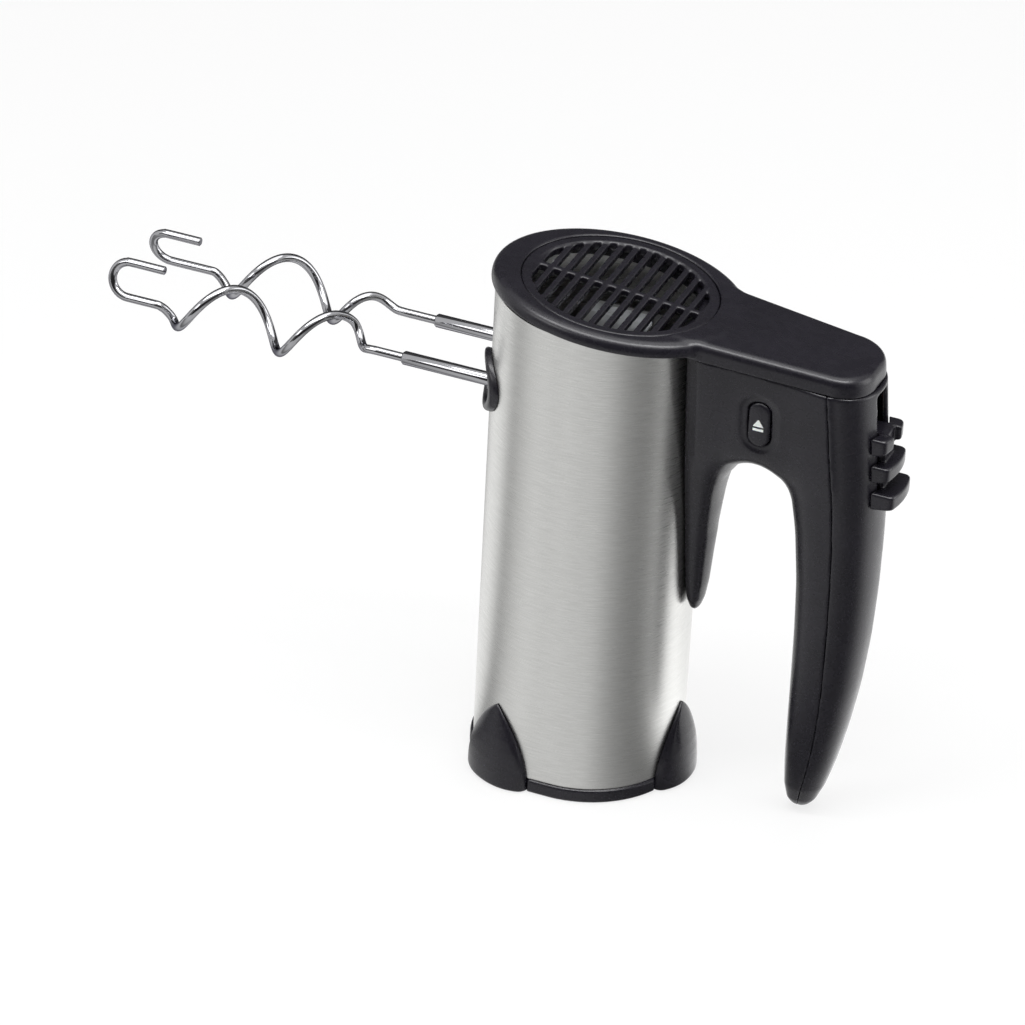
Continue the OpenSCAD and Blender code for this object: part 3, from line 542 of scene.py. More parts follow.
def brushed_steel():
    """Grain that runs round the tube: noise drawn out flat, so it varies in height only."""
    m = Paint("brushed_tube", (0.60, 0.60, 0.585), 0.3, 1.0)
    m.bsdf.inputs["Anisotropic"].default_value = 0.6
    tangent = m.node("ShaderNodeTangent", direction_type="RADIAL", axis="Z")
    m.link(tangent.outputs["Tangent"], m.bsdf.inputs["Tangent"])
    fine = m.noise(1.0, 4, m.scaled(90, 90, 5200), 0.62)
    dashes = m.noise(1.0, 3, m.scaled(150, 150, 1700), 0.55)
    m.drift(dashes, (0.565, 0.565, 0.55), (0.625, 0.625, 0.61))
    m.rough(m.spread(fine, 0.24, 0.36))
    m.bump(fine, 0.000006, 0.6)
    m.bump(dashes, 0.000002, 0.3)
    return m.mat


def chrome():
    m = Paint("chrome_wire", (0.36, 0.36, 0.375), 0.08, 1.0, Specular_Tint=(0.18, 0.18, 0.2, 1))
    m.rough(m.spread(m.noise(90, 5), 0.05, 0.14))
    m.bump(m.noise(700, 3), 0.000003, 0.5)
    return m.mat


def machined(name, color, rough):
    """Turned or ground metal, with fine streaks that run round it."""
    m = Paint(name, color, rough, 1.0)
    grain = m.noise(1.0, 4, m.scaled(60, 60, 1800), 0.6)
    m.drift(m.noise(120, 4), tuple(c * 0.82 for c in color), color)
    m.rough(m.spread(grain, rough - 0.08, rough + 0.1))
    m.bump(grain, 0.00002, 0.6)
    return m.mat


def laminated():
    m = Paint("laminated_iron", (0.2, 0.2, 0.21), 0.5, 0.6)
    w = m.node("ShaderNodeTexWave", {"Scale": 320}, wave_type="BANDS", bands_direction="Z")
    m.link(m.where, w.inputs["Vector"])
    m.color(m.ramp(w.outputs["Fac"], [(0.2, (0.1, 0.1, 0.1)), (0.6, (0.24, 0.24, 0.25))]))
    m.bump(w.outputs["Fac"], 0.0002, 0.8)
    return m.mat


def wound_copper():
    m = Paint("copper_winding", (0.6, 0.22, 0.08), 0.3, 0.9)
    w = m.node("ShaderNodeTexWave", {"Scale": 420, "Distortion": 1.5},
               wave_type="BANDS", bands_direction="DIAGONAL")
    m.link(m.where, w.inputs["Vector"])
    m.color(m.ramp(w.outputs["Fac"], [(0.2, (0.32, 0.09, 0.03)), (0.7, (0.68, 0.27, 0.1))]))
    m.bump(w.outputs["Fac"], 0.0003, 0.9)
    return m.mat


def rubber():
    m = Paint("rubber", (0.02, 0.02, 0.021), 0.75)
    m.drift(m.noise(70, 4), (0.014, 0.014, 0.015), (0.03, 0.03, 0.031))
    m.rough(m.spread(m.noise(900, 3), 0.65, 0.85))
    m.bump(m.noise(2200, 3), 0.00002)
    return m.mat


def waxy(name, color, glow):
    """Pale plastic that lets a little light in under its surface."""
    m = Paint(name, color, 0.42, Subsurface_Weight=glow, Subsurface_Scale=0.002)
    m.drift(m.noise(80, 3), tuple(c * 0.93 for c in color), color)
    m.rough(m.spread(m.noise(500, 4), 0.36, 0.5))
    m.bump(m.noise(1500, 2), 0.000015)
    return m.mat


MATERIALS = {
    "brushed_tube": brushed_steel(),
    "black_plastic": moulded("black_plastic", (0.0102, 0.0092, 0.0136), 0.27),
    "rubber": rubber(),
    "gear_housing": moulded("gear_housing", (0.045, 0.045, 0.048), 0.55, 0.00003, 1800),
    "natural_nylon": waxy("natural_nylon", (0.78, 0.74, 0.62), 0.25),
    "chrome_wire": chrome(),
    "steel_parts": machined("steel_parts", (0.58, 0.59, 0.6), 0.32),
    "laminated_iron": laminated(),
    "copper_winding": wound_copper(),
    "brass_parts": machined("brass_parts", (0.68, 0.46, 0.16), 0.3),
    "carbon": moulded("carbon", (0.03, 0.03, 0.03), 0.6, 0.00002, 1500),
    "switch_case": moulded("switch_case", (0.07, 0.07, 0.075), 0.3),
    "pale_plastic": waxy("pale_plastic", (0.8, 0.8, 0.77), 0.15),
}
# The CAD nodes that stay as they are, by the finish they get
CAD_SLOTS = {
    "rubber": ["foot_pads", "cord_grommet"],
    "gear_housing": ["gearbox_case", "gearbox_cover", "motor_cradle"],
    "steel_parts": [
        "gearbox_bracket", "gearbox_screws", "bearing_lower", "bearing_upper", "stator_bolts",
        "base_screws", "eject_spring", "shaft_with_worm", "eject_slide",
    ],
    "laminated_iron": ["stator_core", "armature_core"],
    "copper_winding": ["field_coils", "armature_windings"],
    "brass_parts": ["brush_holders", "commutator"],
    "carbon": ["carbon_brushes"],
    "switch_case": ["speed_switch"],
    "pale_plastic": ["speed_scale"],
    "natural_nylon": ["cooling_fan", "worm_wheel_left", "worm_wheel_right", "slider_carriage"],
}


# ---- handle ----
def station(table, column, z):
    """A column of a table of sections at height z, with the steps between its rows smoothed."""
    fine = np.arange(table[0, 0] - 20, table[-1, 0] + 20, 1.0)
    values = np.interp(fine, table[:, 0], table[:, column])
    first = values[fine >= table[0, 0]][0]
    # a bell curve that spreads over 4 mm each way
    weights = np.exp(-0.5 * (np.arange(-12, 13) / 4.0) ** 2)
    soft = np.convolve(values, weights / weights.sum(), mode="same")
    # near the tip the sections change fast, and keep their own values
    mix = ease((fine - table[0, 0] - 8) / 14)
    values = values * (1 - mix) + soft * mix
    values[fine < table[0, 0]] = first
    return np.interp(z, fine, values)


def section_field(x, y, z, table):
    front, wide, back, half_w = [station(table, k, z) for k in (1, 2, 3, 4)]
    u = x - BACK_X - wide
    reach = np.where(u > 0, back - wide, wide - front)
    power = np.where(u > 0, BACK_POWER, FRONT_POWER)
    a = np.abs(u / reach) + 1e-6
    b = np.abs(y / half_w) + 1e-6
    g = (a**power + b**power) ** (1 / power)
    slope = g ** (1 - power) * np.hypot(a ** (power - 1) / reach, b ** (power - 1) / half_w)
    return (g - 1) / np.maximum(slope, 0.012)


def seam_x(z):
    return BACK_X + station(GRIP, 2, z)


def handle_outside(x, y, z):
    """The handle's outer form, before it is cut by the tube, the top cover and the seam."""
    grip = smax(section_field(x, y, z, GRIP), 1.0 - z, 2.0)
    leg = smax(section_field(x, y, z, LEG), 84.6 - z, 2.0)
    leg_x, leg_w = BACK_X + station(LEG, 2, z), station(LEG, 4, z)
    grip_x, grip_w = seam_x(z), station(GRIP, 4, z)
    along = np.clip((x - leg_x) / (grip_x - leg_x), 0, 1)
    width = leg_w + (grip_w - leg_w) * along
    bridge = smax(np.abs(y) - width, np.maximum(leg_x - x, x - grip_x), 1.0)
    # the web thins out softly towards the fingers
    bridge = smax(bridge, BRIDGE_LOW - z, 24.0)
    arch = ellipse(x - ARCH["x"], z - ARCH["z"], ARCH["half_w"], ARCH["rise"])
    arch = np.where(z < ARCH["z"], np.abs(x - ARCH["x"]) - ARCH["half_w"], arch)
    # further down the arch fades out and leaves the leg whole
    leg = cut(leg, arch + FADE_DEPTH * ease((FADE_FROM - z) / FADE_OVER), 4.5)
    return smin(smin(grip, cut(bridge, arch, 5.0), 4.0), leg, 4.0)


def button_distance(x, z):
    return stadium(x - BUTTON_X, z - BUTTON_Z, BUTTON_W, BUTTON_L)


def handle_shell(x, y, z):
    form = handle_outside(x, y, z)
    hollow = smax(form + HANDLE_WALL, HOLLOW_FROM - z, 1.0)
    hollow = np.where((x < SOLID_LEG_X) & (z < SOLID_LEG_Z), OUTSIDE, hollow)
    dish = ease((DISH_REACH - button_distance(x, z)) / DISH_SOFT) * (y < 0)
    form = form + DISH_DEPTH * dish
    form = smax(form, PLATE_EDGE + SEAT - top_depth(x, z), 0.9)
    form = smax(form, TUBE_R + SEAT - oval(x, y, 0), 0.8)
    return cut(form, hollow, 0.5)


def handle_front(x, y, z):
    f = handle_shell(x, y, z)
    f = smax(f, x - seam_x(z) + SEAM_GAP, SEAM_ROUND)
    hole = np.where(y < -8, button_distance(x, z) - SLIDE, OUTSIDE)
    f = cut(f, hole, 0.7)
    window = smax(box2(y, z - BUTTON_Z - WINDOW_RISE, 6, 11), x - BACK_X - 14, 0.5)
    return cut(f, window, 0.5)


def handle_back(x, y, z):
    f = handle_shell(x, y, z)
    f = smax(f, seam_x(z) + SEAM_GAP - x, SEAM_ROUND)
    middle = (SLIDER_TOP + SLIDER_LOW) / 2
    slot = box2(y, z - middle, SLIDER_NECK + SLIDE, (SLIDER_TOP - SLIDER_LOW) / 2 + 0.6, 1.6)
    return cut(f, np.where(x > SLIDER_FOOT_X - 8, slot, OUTSIDE), 0.9)


def build_handle():
    step = 0.8
    ob = sculpt("handle_front_shell", (44, -25.5, 0), (114.2, 25.5, 224), step, handle_front)
    dress(ob, "housing", "black_plastic", "handle_body")
    ob = sculpt("handle_back_shell", (99, -22.5, 0), (129.5, 22.5, 224), step, handle_back)
    dress(ob, "housing", "black_plastic", "handle_back_cover")


# ---- eject button ----
def build_button():
    def field(x, y, z):
        d = button_distance(x, z)
        crown = 0.35 * ease(-d / (BUTTON_W / 2))
        f = smax(d, BUTTON_Y + 0.25 - crown - y, 1.5)
        f = smax(f, y - BUTTON_Y - 5.5, 0.4)
        stem = smax(box2(x - BUTTON_X - 1, z - BUTTON_Z, 5, 2.5), y - 3.5, 0.4)
        stem = smax(stem, BUTTON_Y + 4 - y, 0.4)
        ramp = (y - (x - BUTTON_X - 2)) / math.sqrt(2)
        return smax(smin(f, stem, 0.4), ramp, 0.3)

    ob = sculpt("eject_button_cap", (BUTTON_X - 8, -22.5, BUTTON_Z - 13),
                (BUTTON_X + 9, 5, BUTTON_Z + 13), 0.4, field)
    dress(ob, "button", "black_plastic", "eject_button")
    build_symbol()


def build_symbol():
    """The plain eject sign, a triangle over a bar, moulded a hair proud of the button."""
    outlines = [
        [(-2.3, -0.6), (2.3, -0.6), (0.25, 2.6), (-0.25, 2.6)],
        [(-2.3, -2.6), (2.3, -2.6), (2.3, -1.5), (-2.3, -1.5)],
    ]
    # where each layer lies from the button's face, and its size
    layers = [(0.4, 1.0), (-0.14, 1.0), (-0.18, 0.97)]
    bm = bmesh.new()
    for outline in outlines:
        rings = []
        for rise, size in layers:
            points = [(BUTTON_X + u * size, BUTTON_Y + rise, BUTTON_Z + v * size)
                      for u, v in outline]
            rings.append(new_ring(bm, points))
        bm.faces.new(rings[0])
        bm.faces.new(rings[-1])
        for a, b in zip(rings, rings[1:]):
            join_rings(bm, a, b)
    bmesh.ops.recalc_face_normals(bm, faces=bm.faces)
    dress(from_bmesh("eject_symbol", bm), "button", "pale_plastic")


# ---- speed slider ----
def build_slider():
    bow_r = (FIN_HALF_W**2 + FIN_BULGE**2) / (2 * FIN_BULGE)

    def field(x, y, z):
        f = None
        for i, face in enumerate(FIN_FACES):
            top = SLIDER_HIGH - (2 - i) * FIN_STEP
            edge_x = BACK_X + face
            side = smax(np.hypot(x - edge_x + bow_r, y) - bow_r, np.abs(y) - FIN_HALF_W, 2.0)
            side = smax(side, SLIDER_FOOT_X - x, 0.5)
            rise = (x - SLIDER_FOOT_X - 6) / (edge_x - SLIDER_FOOT_X - 6)
            under = top - FIN_ROOT_H + (FIN_ROOT_H - FIN_H) * np.clip(rise, 0, 1)
            fin = smax(side, smax(z - top, under - z, 0.8), 1.3)
            if i == 2:
                notch = smax(np.abs(y) - 4, SLIDER_FOOT_X + 9.8 - x, 1.2)
                fin = cut(fin, notch, 1.2)
            f = fin if f is None else smin(f, fin, 0.6)
        middle, half = (SLIDER_HIGH + SLIDER_LOW) / 2, (SLIDER_HIGH - SLIDER_LOW) / 2
        neck = smax(box2(y, z - middle, SLIDER_NECK, half), x - SLIDER_FOOT_X - 11.8, 0.6)
        neck = smax(neck, SLIDER_FOOT_X - x, 0.4)
        f = smin(f, neck, 1.0)
        skin = handle_outside(x, y, z)
        rides = np.where(np.abs(y) < SLIDER_NECK, -1.0, 0.45 - skin)
        return smax(f, rides, 0.3)

    ob = sculpt("speed_slider_fins", (116, -12, 157), (138, 12, 194), 0.42, field)
    dress(ob, "slider", "black_plastic", "speed_slider")


# ---- top cover ----
def plate_outline(x, y, flare):
    end_x = PLATE_END_X + flare
    corner_x, corner_y = end_x - PLATE_CORNER, PLATE_END_HALF_W - PLATE_CORNER
    meets = CAP_X + CAP_HALF_L * math.sqrt(1 - (PLATE_HALF_W / CAP_HALF_W) ** 2)
    taper = (PLATE_HALF_W - PLATE_END_HALF_W) / (corner_x - meets)
    width = PLATE_HALF_W - taper * (x - meets)
    sides = (np.abs(y) - width) / np.sqrt(1 + taper**2)
    dx, dy = x - corner_x, np.abs(y) - corner_y
    corner = np.hypot(np.maximum(dx, 0), np.maximum(dy, 0)) - PLATE_CORNER
    end = np.where((dx > 0) & (dy > 0), corner, np.maximum(sides, x - end_x))
    return np.maximum(end, BACK_X - 12 - x)


def build_top():
    def tilted(x, y, depth):
        """The cover in the frame of its sloping surface."""
        rim = ellipse(x - CAP_X, y, CAP_HALF_L, CAP_HALF_W)
        cap = smax(smax(rim, depth - CAP_RIM, 0.9), -depth, 5.0)
        edge = plate_outline(x, y, PLATE_FLARE * np.clip(depth / PLATE_EDGE, 0, 1))
        plate = smax(smax(edge, depth - PLATE_EDGE, 0.8), -depth, 3.8)
        f = smin(cap, plate, 1.6)
        well = ellipse(x - CAP_X, y, GRILLE_HALF_L + 0.25, GRILLE_HALF_W + 0.25)
        f = cut(f, smax(well, depth - GRILLE_H - GRILLE_SINK - 0.2, 0.3), 0.7)
        through = smax(ellipse(x - CAP_X, y, GRILLE_HALF_L - 2, GRILLE_HALF_W - 2),
                       oval(x, y, INNER_R - 4.5), 0.4)
        f = cut(f, through, 0.4)
        # the collar stands down inside the tube, so it is upright and not square to the slope
        straight = x * math.cos(TILT) - depth * math.sin(TILT)
        collar = smax(oval(straight, y, INNER_R - SEAT),
                      -oval(straight, y, INNER_R - SEAT - COLLAR_WALL), 0.3)
        collar = smax(collar, np.maximum(CAP_RIM - 1 - depth, depth - CAP_RIM - COLLAR_H), 0.4)
        f = smin(f, collar, 0.3)
        above = np.maximum(BACK_X + 5 - x, 2.6 - depth)
        roof = smax(plate_outline(x, y, -HANDLE_WALL), above, 0.4)
        roof = smax(roof, np.abs(y) - PLATE_END_HALF_W + HANDLE_WALL, 0.4)
        return cut(f, roof, 0.4)

    high = (124.5, 46.5, CAP_RIM + COLLAR_H + 1.2)
    ob = sculpt("top_cover_shell", (-50, -46.5, -1.5), high, 0.6, tilted)
    slope_back(ob)
    dress(ob, "housing", "black_plastic", "top_cover")


def slope_back(ob):
    """Takes a mesh from (along the slope, across, depth) to its place on top of the tube."""
    s, c = math.sin(TILT), math.cos(TILT)
    reshape(ob, lambda x, y, depth: (x * c - depth * s, y, BODY_H - x * s - depth * c))
    ob.data.flip_normals()
    ob.data.update()


def build_grille():
    pitch = 2 * (GRILLE_HALF_L - 5) / GRILLE_SLOTS
    top, bottom = GRILLE_SINK, GRILLE_SINK + GRILLE_H

    def tilted(x, y, depth):
        u = x - CAP_X
        rim = ellipse(u, y, GRILLE_HALF_L, GRILLE_HALF_W)
        f = smax(rim, np.maximum(top - depth, depth - bottom), 0.7)
        # the field of slots is dished a little below the rim
        dish = ellipse(u, y, GRILLE_HALF_L - 3.4, GRILLE_HALF_W - 3.4)
        f = f + 0.7 * ease(-dish / 1.6) * (depth < 2.5)
        field = ellipse(u, y, GRILLE_HALF_L - 4.4, GRILLE_HALF_W - 4.4)
        k = np.clip(np.round(u / pitch - 0.5), -GRILLE_SLOTS / 2, GRILLE_SLOTS / 2 - 1) + 0.5
        slot = smax(np.abs(u - k * pitch) - SLOT_HALF, SPINE_HALF - np.abs(y), 0.9)
        return cut(f, smax(field, slot, 1.2), 0.8)

    box = (CAP_X - 43.5, -39.5, -0.6), (CAP_X + 43.5, 39.5, 5.4)
    ob = sculpt("vent_grille_plate", *box, 0.42, tilted)
    slope_back(ob)
    dress(ob, "housing", "black_plastic", "vent_grille")


# ---- tube ----
def oval_points(r, count):
    """Points round the tube's oval, evenly spaced, with the way each one faces."""
    straight = 2 * END_X
    whole = 2 * math.pi * r + 2 * straight
    out = []
    for i in range(count):
        s = whole * i / count
        half = math.pi * r + straight
        flip = s >= half
        s = s - half if flip else s
        if s < math.pi * r:
            a = -math.pi / 2 + s / r
            p, n = (END_X + r * math.cos(a), r * math.sin(a)), (math.cos(a), math.sin(a))
        else:
            p, n = (END_X - (s - math.pi * r), r), (0.0, 1.0)
        out.append((-p[0], -p[1], -n[0], -n[1]) if flip else (*p, *n))
    return np.array(out)


def build_tube():
    count, rows = 288, 24
    outer, inner = oval_points(TUBE_R, count), oval_points(INNER_R, count)
    verts, rings = [], []

    def ring(points, height):
        rings.append(len(verts))
        verts.extend([[p[0], p[1], height(p[0])] for p in points])

    def top(x):
        return BODY_H - (CAP_RIM + SEAT) / math.cos(TILT) - x * math.tan(TILT)

    low = BASE_H + SEAT
    ring(inner, lambda x: low)
    ring(outer, lambda x: low)
    for i in range(1, rows):
        ring(outer, lambda x, t=i / rows: low + (top(x) - low) * t)
    ring(outer, top)
    ring(inner, top)
    ob = new_mesh("body_tube_sleeve", np.array(verts), band_faces(rings + rings[:1], count))
    cutters = []

    def cutter(bm, place, shape):
        move = Matrix.Translation(Vector(place) * MM)
        bmesh.ops.transform(bm, matrix=move @ shape, verts=bm.verts)
        cutters.append(from_bmesh("cutter", bm))

    def drum(r, length, place, axis):
        """A round cutter, turned down from upright about the given axis."""
        bm = bmesh.new()
        bmesh.ops.create_cone(bm, cap_ends=True, segments=96, radius1=r * MM, radius2=r * MM,
                              depth=length * MM)
        cutter(bm, place, Matrix.Rotation(math.pi / 2, 4, axis))

    for s in SIDES.values():
        drum(SOCKET_R, 40, (-40, s * SIDE_Y, SPINDLE_Z), "Y")
    drum(CORD_HOLE_R, 20, (0, 40, CORD_Z), "X")
    window = bmesh.new()
    bmesh.ops.create_cube(window, size=0.02)
    cutter(window, (BACK_X, 0, BUTTON_Z + WINDOW_RISE), Matrix.Diagonal((1.2, 0.6, 1.1, 1)))
    for c in cutters:
        m = ob.modifiers.new("hole", "BOOLEAN")
        m.operation, m.solver, m.object = "DIFFERENCE", "EXACT", c
    bpy.context.view_layer.update()
    graph = bpy.context.evaluated_depsgraph_get()
    cut_mesh = bpy.data.meshes.new_from_object(ob.evaluated_get(graph))
    ob.modifiers.clear()
    ob.data = cut_mesh
    for c in cutters:
        bpy.data.objects.remove(c)
    set_wall_normals(ob)
    dress(ob, "housing", "brushed_tube", "body_tube")


def set_wall_normals(ob):
    """Gives the wall the oval's true normals, so that reflections run straight past the holes."""
    me = ob.data
    me.polygons.foreach_set("use_smooth", np.ones(len(me.polygons), bool))
    normals = np.zeros((len(me.loops), 3))
    for face in me.polygons:
        for li in face.loop_indices:
            co = me.vertices[me.loops[li].vertex_index].co
            x = co.x / MM
            out = Vector((x - math.copysign(min(abs(x), END_X), x), co.y / MM, 0)).normalized()
            side = face.normal.dot(out)
            normals[li] = out * math.copysign(1, side) if abs(side) > 0.7 else face.normal
    me.normals_split_custom_set(normals.tolist())


# ---- base ----
def claw_reach(z):
    side_r = (CLAW_H**2 + CLAW_HALF_W**2) / (2 * CLAW_HALF_W)
    return np.sqrt(np.maximum(side_r**2 - np.maximum(z, 0) ** 2, 1)) - side_r + CLAW_HALF_W


# How proud a claw stands at its edge and at its middle, up its height, as shares of CLAW_PROUD
CLAW_ROWS = np.array([
    [0, 0.24, 0.93], [0.02, 0.29, 0.99], [0.06, 0.3, 1], [0.2, 0.3, 0.99], [0.34, 0.28, 0.94],
    [0.48, 0.26, 0.84], [0.62, 0.23, 0.68], [0.76, 0.2, 0.47], [0.9, 0.15, 0.25], [1, 0.09, 0.09],
])


def claw_centre(a):
    """The x of the tube's end that a claw stands round."""
    return -END_X if math.cos(a) < 0 else END_X


def claw_frame(x, y, degrees):
    """Coordinates along and across a claw's own direction, from the centre of the tube's end."""
    a = math.radians(degrees)
    x = x - claw_centre(a)
    return x * math.cos(a) + y * math.sin(a), -x * math.sin(a) + y * math.cos(a)


def claw_place(u, v, degrees):
    """The way back from claw_frame."""
    a = math.radians(degrees)
    x = claw_centre(a) + u * math.cos(a) - v * math.sin(a)
    return x, u * math.sin(a) + v * math.cos(a)


def claw_field(u, v, z):
    z = np.minimum(z, CLAW_H - 0.02)
    reach = claw_reach(z)
    turn = np.arcsin(np.clip(reach / TUBE_R, 0.02, 1)) + 0.02
    edge, middle = (np.interp(z / CLAW_H, CLAW_ROWS[:, 0], column) * CLAW_PROUD
                    for column in CLAW_ROWS.T[1:])
    share = np.clip(np.abs(np.arctan2(v, u)) / turn, 0, 1.2)
    proud = edge + (middle - edge) * (1 - share**2.4)
    r = np.hypot(u, v)
    f = smax((r - TUBE_R - proud) * CLAW_LEAN, (np.abs(v) - reach) * CLAW_SIDE_LEAN, 1.3)
    f = smax(f, TUBE_R + SEAT - r, 0.3)
    return smax(f, -z, 0.8)


def build_claws():
    for name, degrees in CLAW_ANGLES.items():
        ob = sculpt(name + "_moulding", (38, -19, -1.2), (51, 19, 38), 0.42, claw_field)
        reshape(ob, lambda u, v, z: (*claw_place(u, v, degrees), z))
        dress(ob, "housing", "black_plastic", name)


def build_base():
    def field(x, y, z):
        rim = smax(oval(x, y, TUBE_R + BASE_PROUD), z - BASE_H, 1.4)
        rim = smax(rim, -z, 0.9)
        collar = smax(oval(x, y, INNER_R - SEAT), np.maximum(z - BASE_H - 4, 1 - z), 0.5)
        f = smin(rim, collar, 0.3)
        f = cut(f, smax(oval(x, y, INNER_R - 2.35), 2.4 - z, 0.4), 0.5)
        for px, py in SCREW_POSTS:
            r = np.hypot(x - px, y - py)
            f = cut(f, r - 1.7, 0.3)
            f = cut(f, smax(r - 3.4, z - 1.2, 0.3), 0.3)
        for degrees in CLAW_ANGLES.values():
            u, v = claw_frame(x, y, degrees)
            inwards = np.maximum(TUBE_R - 0.1 - np.hypot(u, v), -u)
            f = cut(f, smax(np.abs(v) - CLAW_HALF_W - 0.25, inwards, 0.2), 0.4)
        return f

    ob = sculpt("base_cover_tray", (-48, -45, -1.4), (48, 45, 11), 0.55, field)
    dress(ob, "housing", "black_plastic", "base_cover")


# ---- sockets ----
def build_bezels():
    for name, s in SIDES.items():
        def field(x, y, z, s=s):
            r = np.hypot(y - s * SIDE_Y, z - SPINDLE_Z)
            outside = TUBE_R + 0.1 - oval(x, y, 0)
            face = oval(x, y, TUBE_R + BEZEL_PROUD)
            flange = smax(smax(r - BEZEL_R, outside, 0.2), face, 1.5)
            sleeve = smax(smax(r - BEZEL_SLEEVE_R, 38 - oval(x, y, 0), 0.2), face, 0.8)
            f = smin(flange, sleeve, 0.2)
            bore = r - BEZEL_BORE_R - 0.9 * ease((face + 1.2) / 1.2)
            return smax(cut(f, bore, 0.6), x, 0.3)

        low = (-50, s * SIDE_Y - 14.5, SPINDLE_Z - 14.5)
        high = (-24, s * SIDE_Y + 14.5, SPINDLE_Z + 14.5)
        ob = sculpt("socket_ring_" + name, low, high, 0.4, field)
        dress(ob, "housing", "black_plastic", "socket_bezel_" + name)


# ---- dough hooks ----
def hook_path(s, turn0, grow, coil_end, arm_from, bend_at, arm_end, tilt):
    """Centre line of a hook, forwards from the front end of its shank."""
    start = np.array([SHANK_FRONT, s * SIDE_Y, SPINDLE_Z])
    forward = np.array([-1.0, 0, 0])
    lift = -0.26 * END_GAP
    up = np.array([0, math.cos(math.radians(tilt)), math.sin(math.radians(tilt))])

    def spiral(d):
        a = math.radians(turn0 + 360 * (d - TURN_AT) / COIL_PITCH)
        r = COIL_R * ease((d - grow[0]) / (grow[1] - grow[0]))
        return start + d * forward + r * np.array([0, math.cos(a), math.sin(a)])

    def arm(d, h):
        return start + d * forward + h * up

    path = [start + d * forward for d in (0, grow[0] - 6, grow[0] - 2)]
    steps = math.ceil((coil_end - grow[0]) / 2)
    path += [spiral(grow[0] + (coil_end - grow[0]) * i / steps) for i in range(1, steps + 1)]
    for t in (0.3, 0.6, 0.85):
        straight = arm(arm_from - 4 * (1 - t), lift)
        path.append((1 - ease(t)) * spiral(coil_end + 3 * t) + ease(t) * straight)
    path += [arm(arm_from, lift), arm((arm_from + bend_at) / 2, lift)]
    bend_r = END_GAP / 2
    for a in range(0, 181, 15):
        t = math.radians(a)
        path.append(arm(bend_at + bend_r * math.sin(t), lift + bend_r * (1 - math.cos(t))))
    path.append(arm(arm_end, lift + END_GAP))
    return path


def build_hooks():
    paths = {
        "left": hook_path(-1, turn0=327.5, grow=(14.5, 27.5), coil_end=105.5, arm_from=112.5,
                          bend_at=126.7, arm_end=110.9, tilt=76),
        "right": hook_path(1, turn0=35.8, grow=(15.5, 40.5), coil_end=95.5, arm_from=103.5,
                           bend_at=123.3, arm_end=108.1, tilt=104),
    }
    shank = [
        [SHANK_FRONT, 2.0], [SHANK_FRONT + 0.15, 2.35], [SHANK_FRONT + 0.9, SHANK_R],
        [SHANK_FRONT + 45, SHANK_R], [SHANK_END - 1, SHANK_R], [SHANK_END, SHANK_R - 1],
    ]
    for name, s in SIDES.items():
        line = smooth_line(paths[name], 0.9)
        radii = np.full(len(line), WIRE_R)
        # the cut end of the wire has a small chamfer
        end = line[-1] - line[-2]
        end /= np.linalg.norm(end)
        line[-1] = line[-1] - end * WIRE_CHAMFER
        line = np.vstack([line, line[-1] + end * WIRE_CHAMFER])
        radii = np.append(radii, WIRE_R - WIRE_CHAMFER)
        ob = sweep("dough_hook_wire_" + name, line, radii)
        dress(ob, "hook_" + name, "chrome_wire", "dough_hook_" + name)
        ob = lathe("hook_shank_bar_" + name, shank, (s * SIDE_Y, SPINDLE_Z))
        dress(ob, "hook_" + name, "chrome_wire", "hook_shank_" + name)
        for k, turned in enumerate((False, True)):
            wing = wing_mesh("drive_wing_%s_%d" % (name, k), s, turned)
            dress(wing, "hook_" + name, "chrome_wire")


def wing_mesh(name, s, turned):
    """One flat key of the shank, with its corners rounded off."""
    x0, x1 = WING_X
    far, near = WING_REACH, WING_REACH - WING_CORNER
    in0, in1 = x0 + WING_CORNER, x1 - WING_CORNER
    outline = [(x0, -near), (in0, -far), (in1, -far), (x1, -near),
               (x1, near), (in1, far), (in0, far), (x0, near)]
    bm = bmesh.new()
    rings = []
    for h in (-WING_HALF, WING_HALF):
        points = [(x, h, r) if turned else (x, r, h) for x, r in outline]
        rings.append(new_ring(bm, [(x, y + s * SIDE_Y, z + SPINDLE_Z) for x, y, z in points]))
    bm.faces.new(rings[0])
    bm.faces.new(rings[1][::-1])
    join_rings(bm, *rings)
    bmesh.ops.recalc_face_normals(bm, faces=bm.faces)
    return from_bmesh(name, bm)


# ---- studio, in metres ----
# The camera fitted to the photo: angles in degrees, distances in millimetres
AZIMUTH = 21.24
ELEVATION = 31.41
ROLL = 2.99
DISTANCE = 3000.0
AIM_RIGHT = -33.17
AIM_UP = 98.17
PX_PER_MM = 2.33
PHOTO_PX = 1025
SENSOR = 36

WORLD_GLOW = 0.42
FLOOR_SIZE = 6
FLOOR_Z = -0.0004
FLOOR_WHITE = 0.75
LAMP_AIM = (0.02, 0, 0.13)
CARD_AIM = Vector((0.03, 0, 0.12))
RING_Z = -0.0002
RING_RADII = (0.003, 1.4)
RING_COUNT = 96
# Tones of the ring of cards on the floor, by direction in degrees
RING_TOP = 2.1
RING = [
    (-180, 1.25), (-171, 1.0), (-165, 0.3), (-158, 0.4), (-148, 0.75), (-136, 0.92), (-123, 1.0),
    (-110, 0.9), (-67, 0.8), (-56, 0.55), (-45, 0.37), (-33, 0.27), (-22, 0.23), (-13, 0.3),
    (-5, 0.7), (4, 1.35), (12, 1.75), (28, 1.75), (42, 1.35), (60, 1.2), (90, 1.1), (104, 0.8),
    (112, 0.3), (138, 0.3), (150, 1.1), (165, 1.25), (180, 1.25),
]


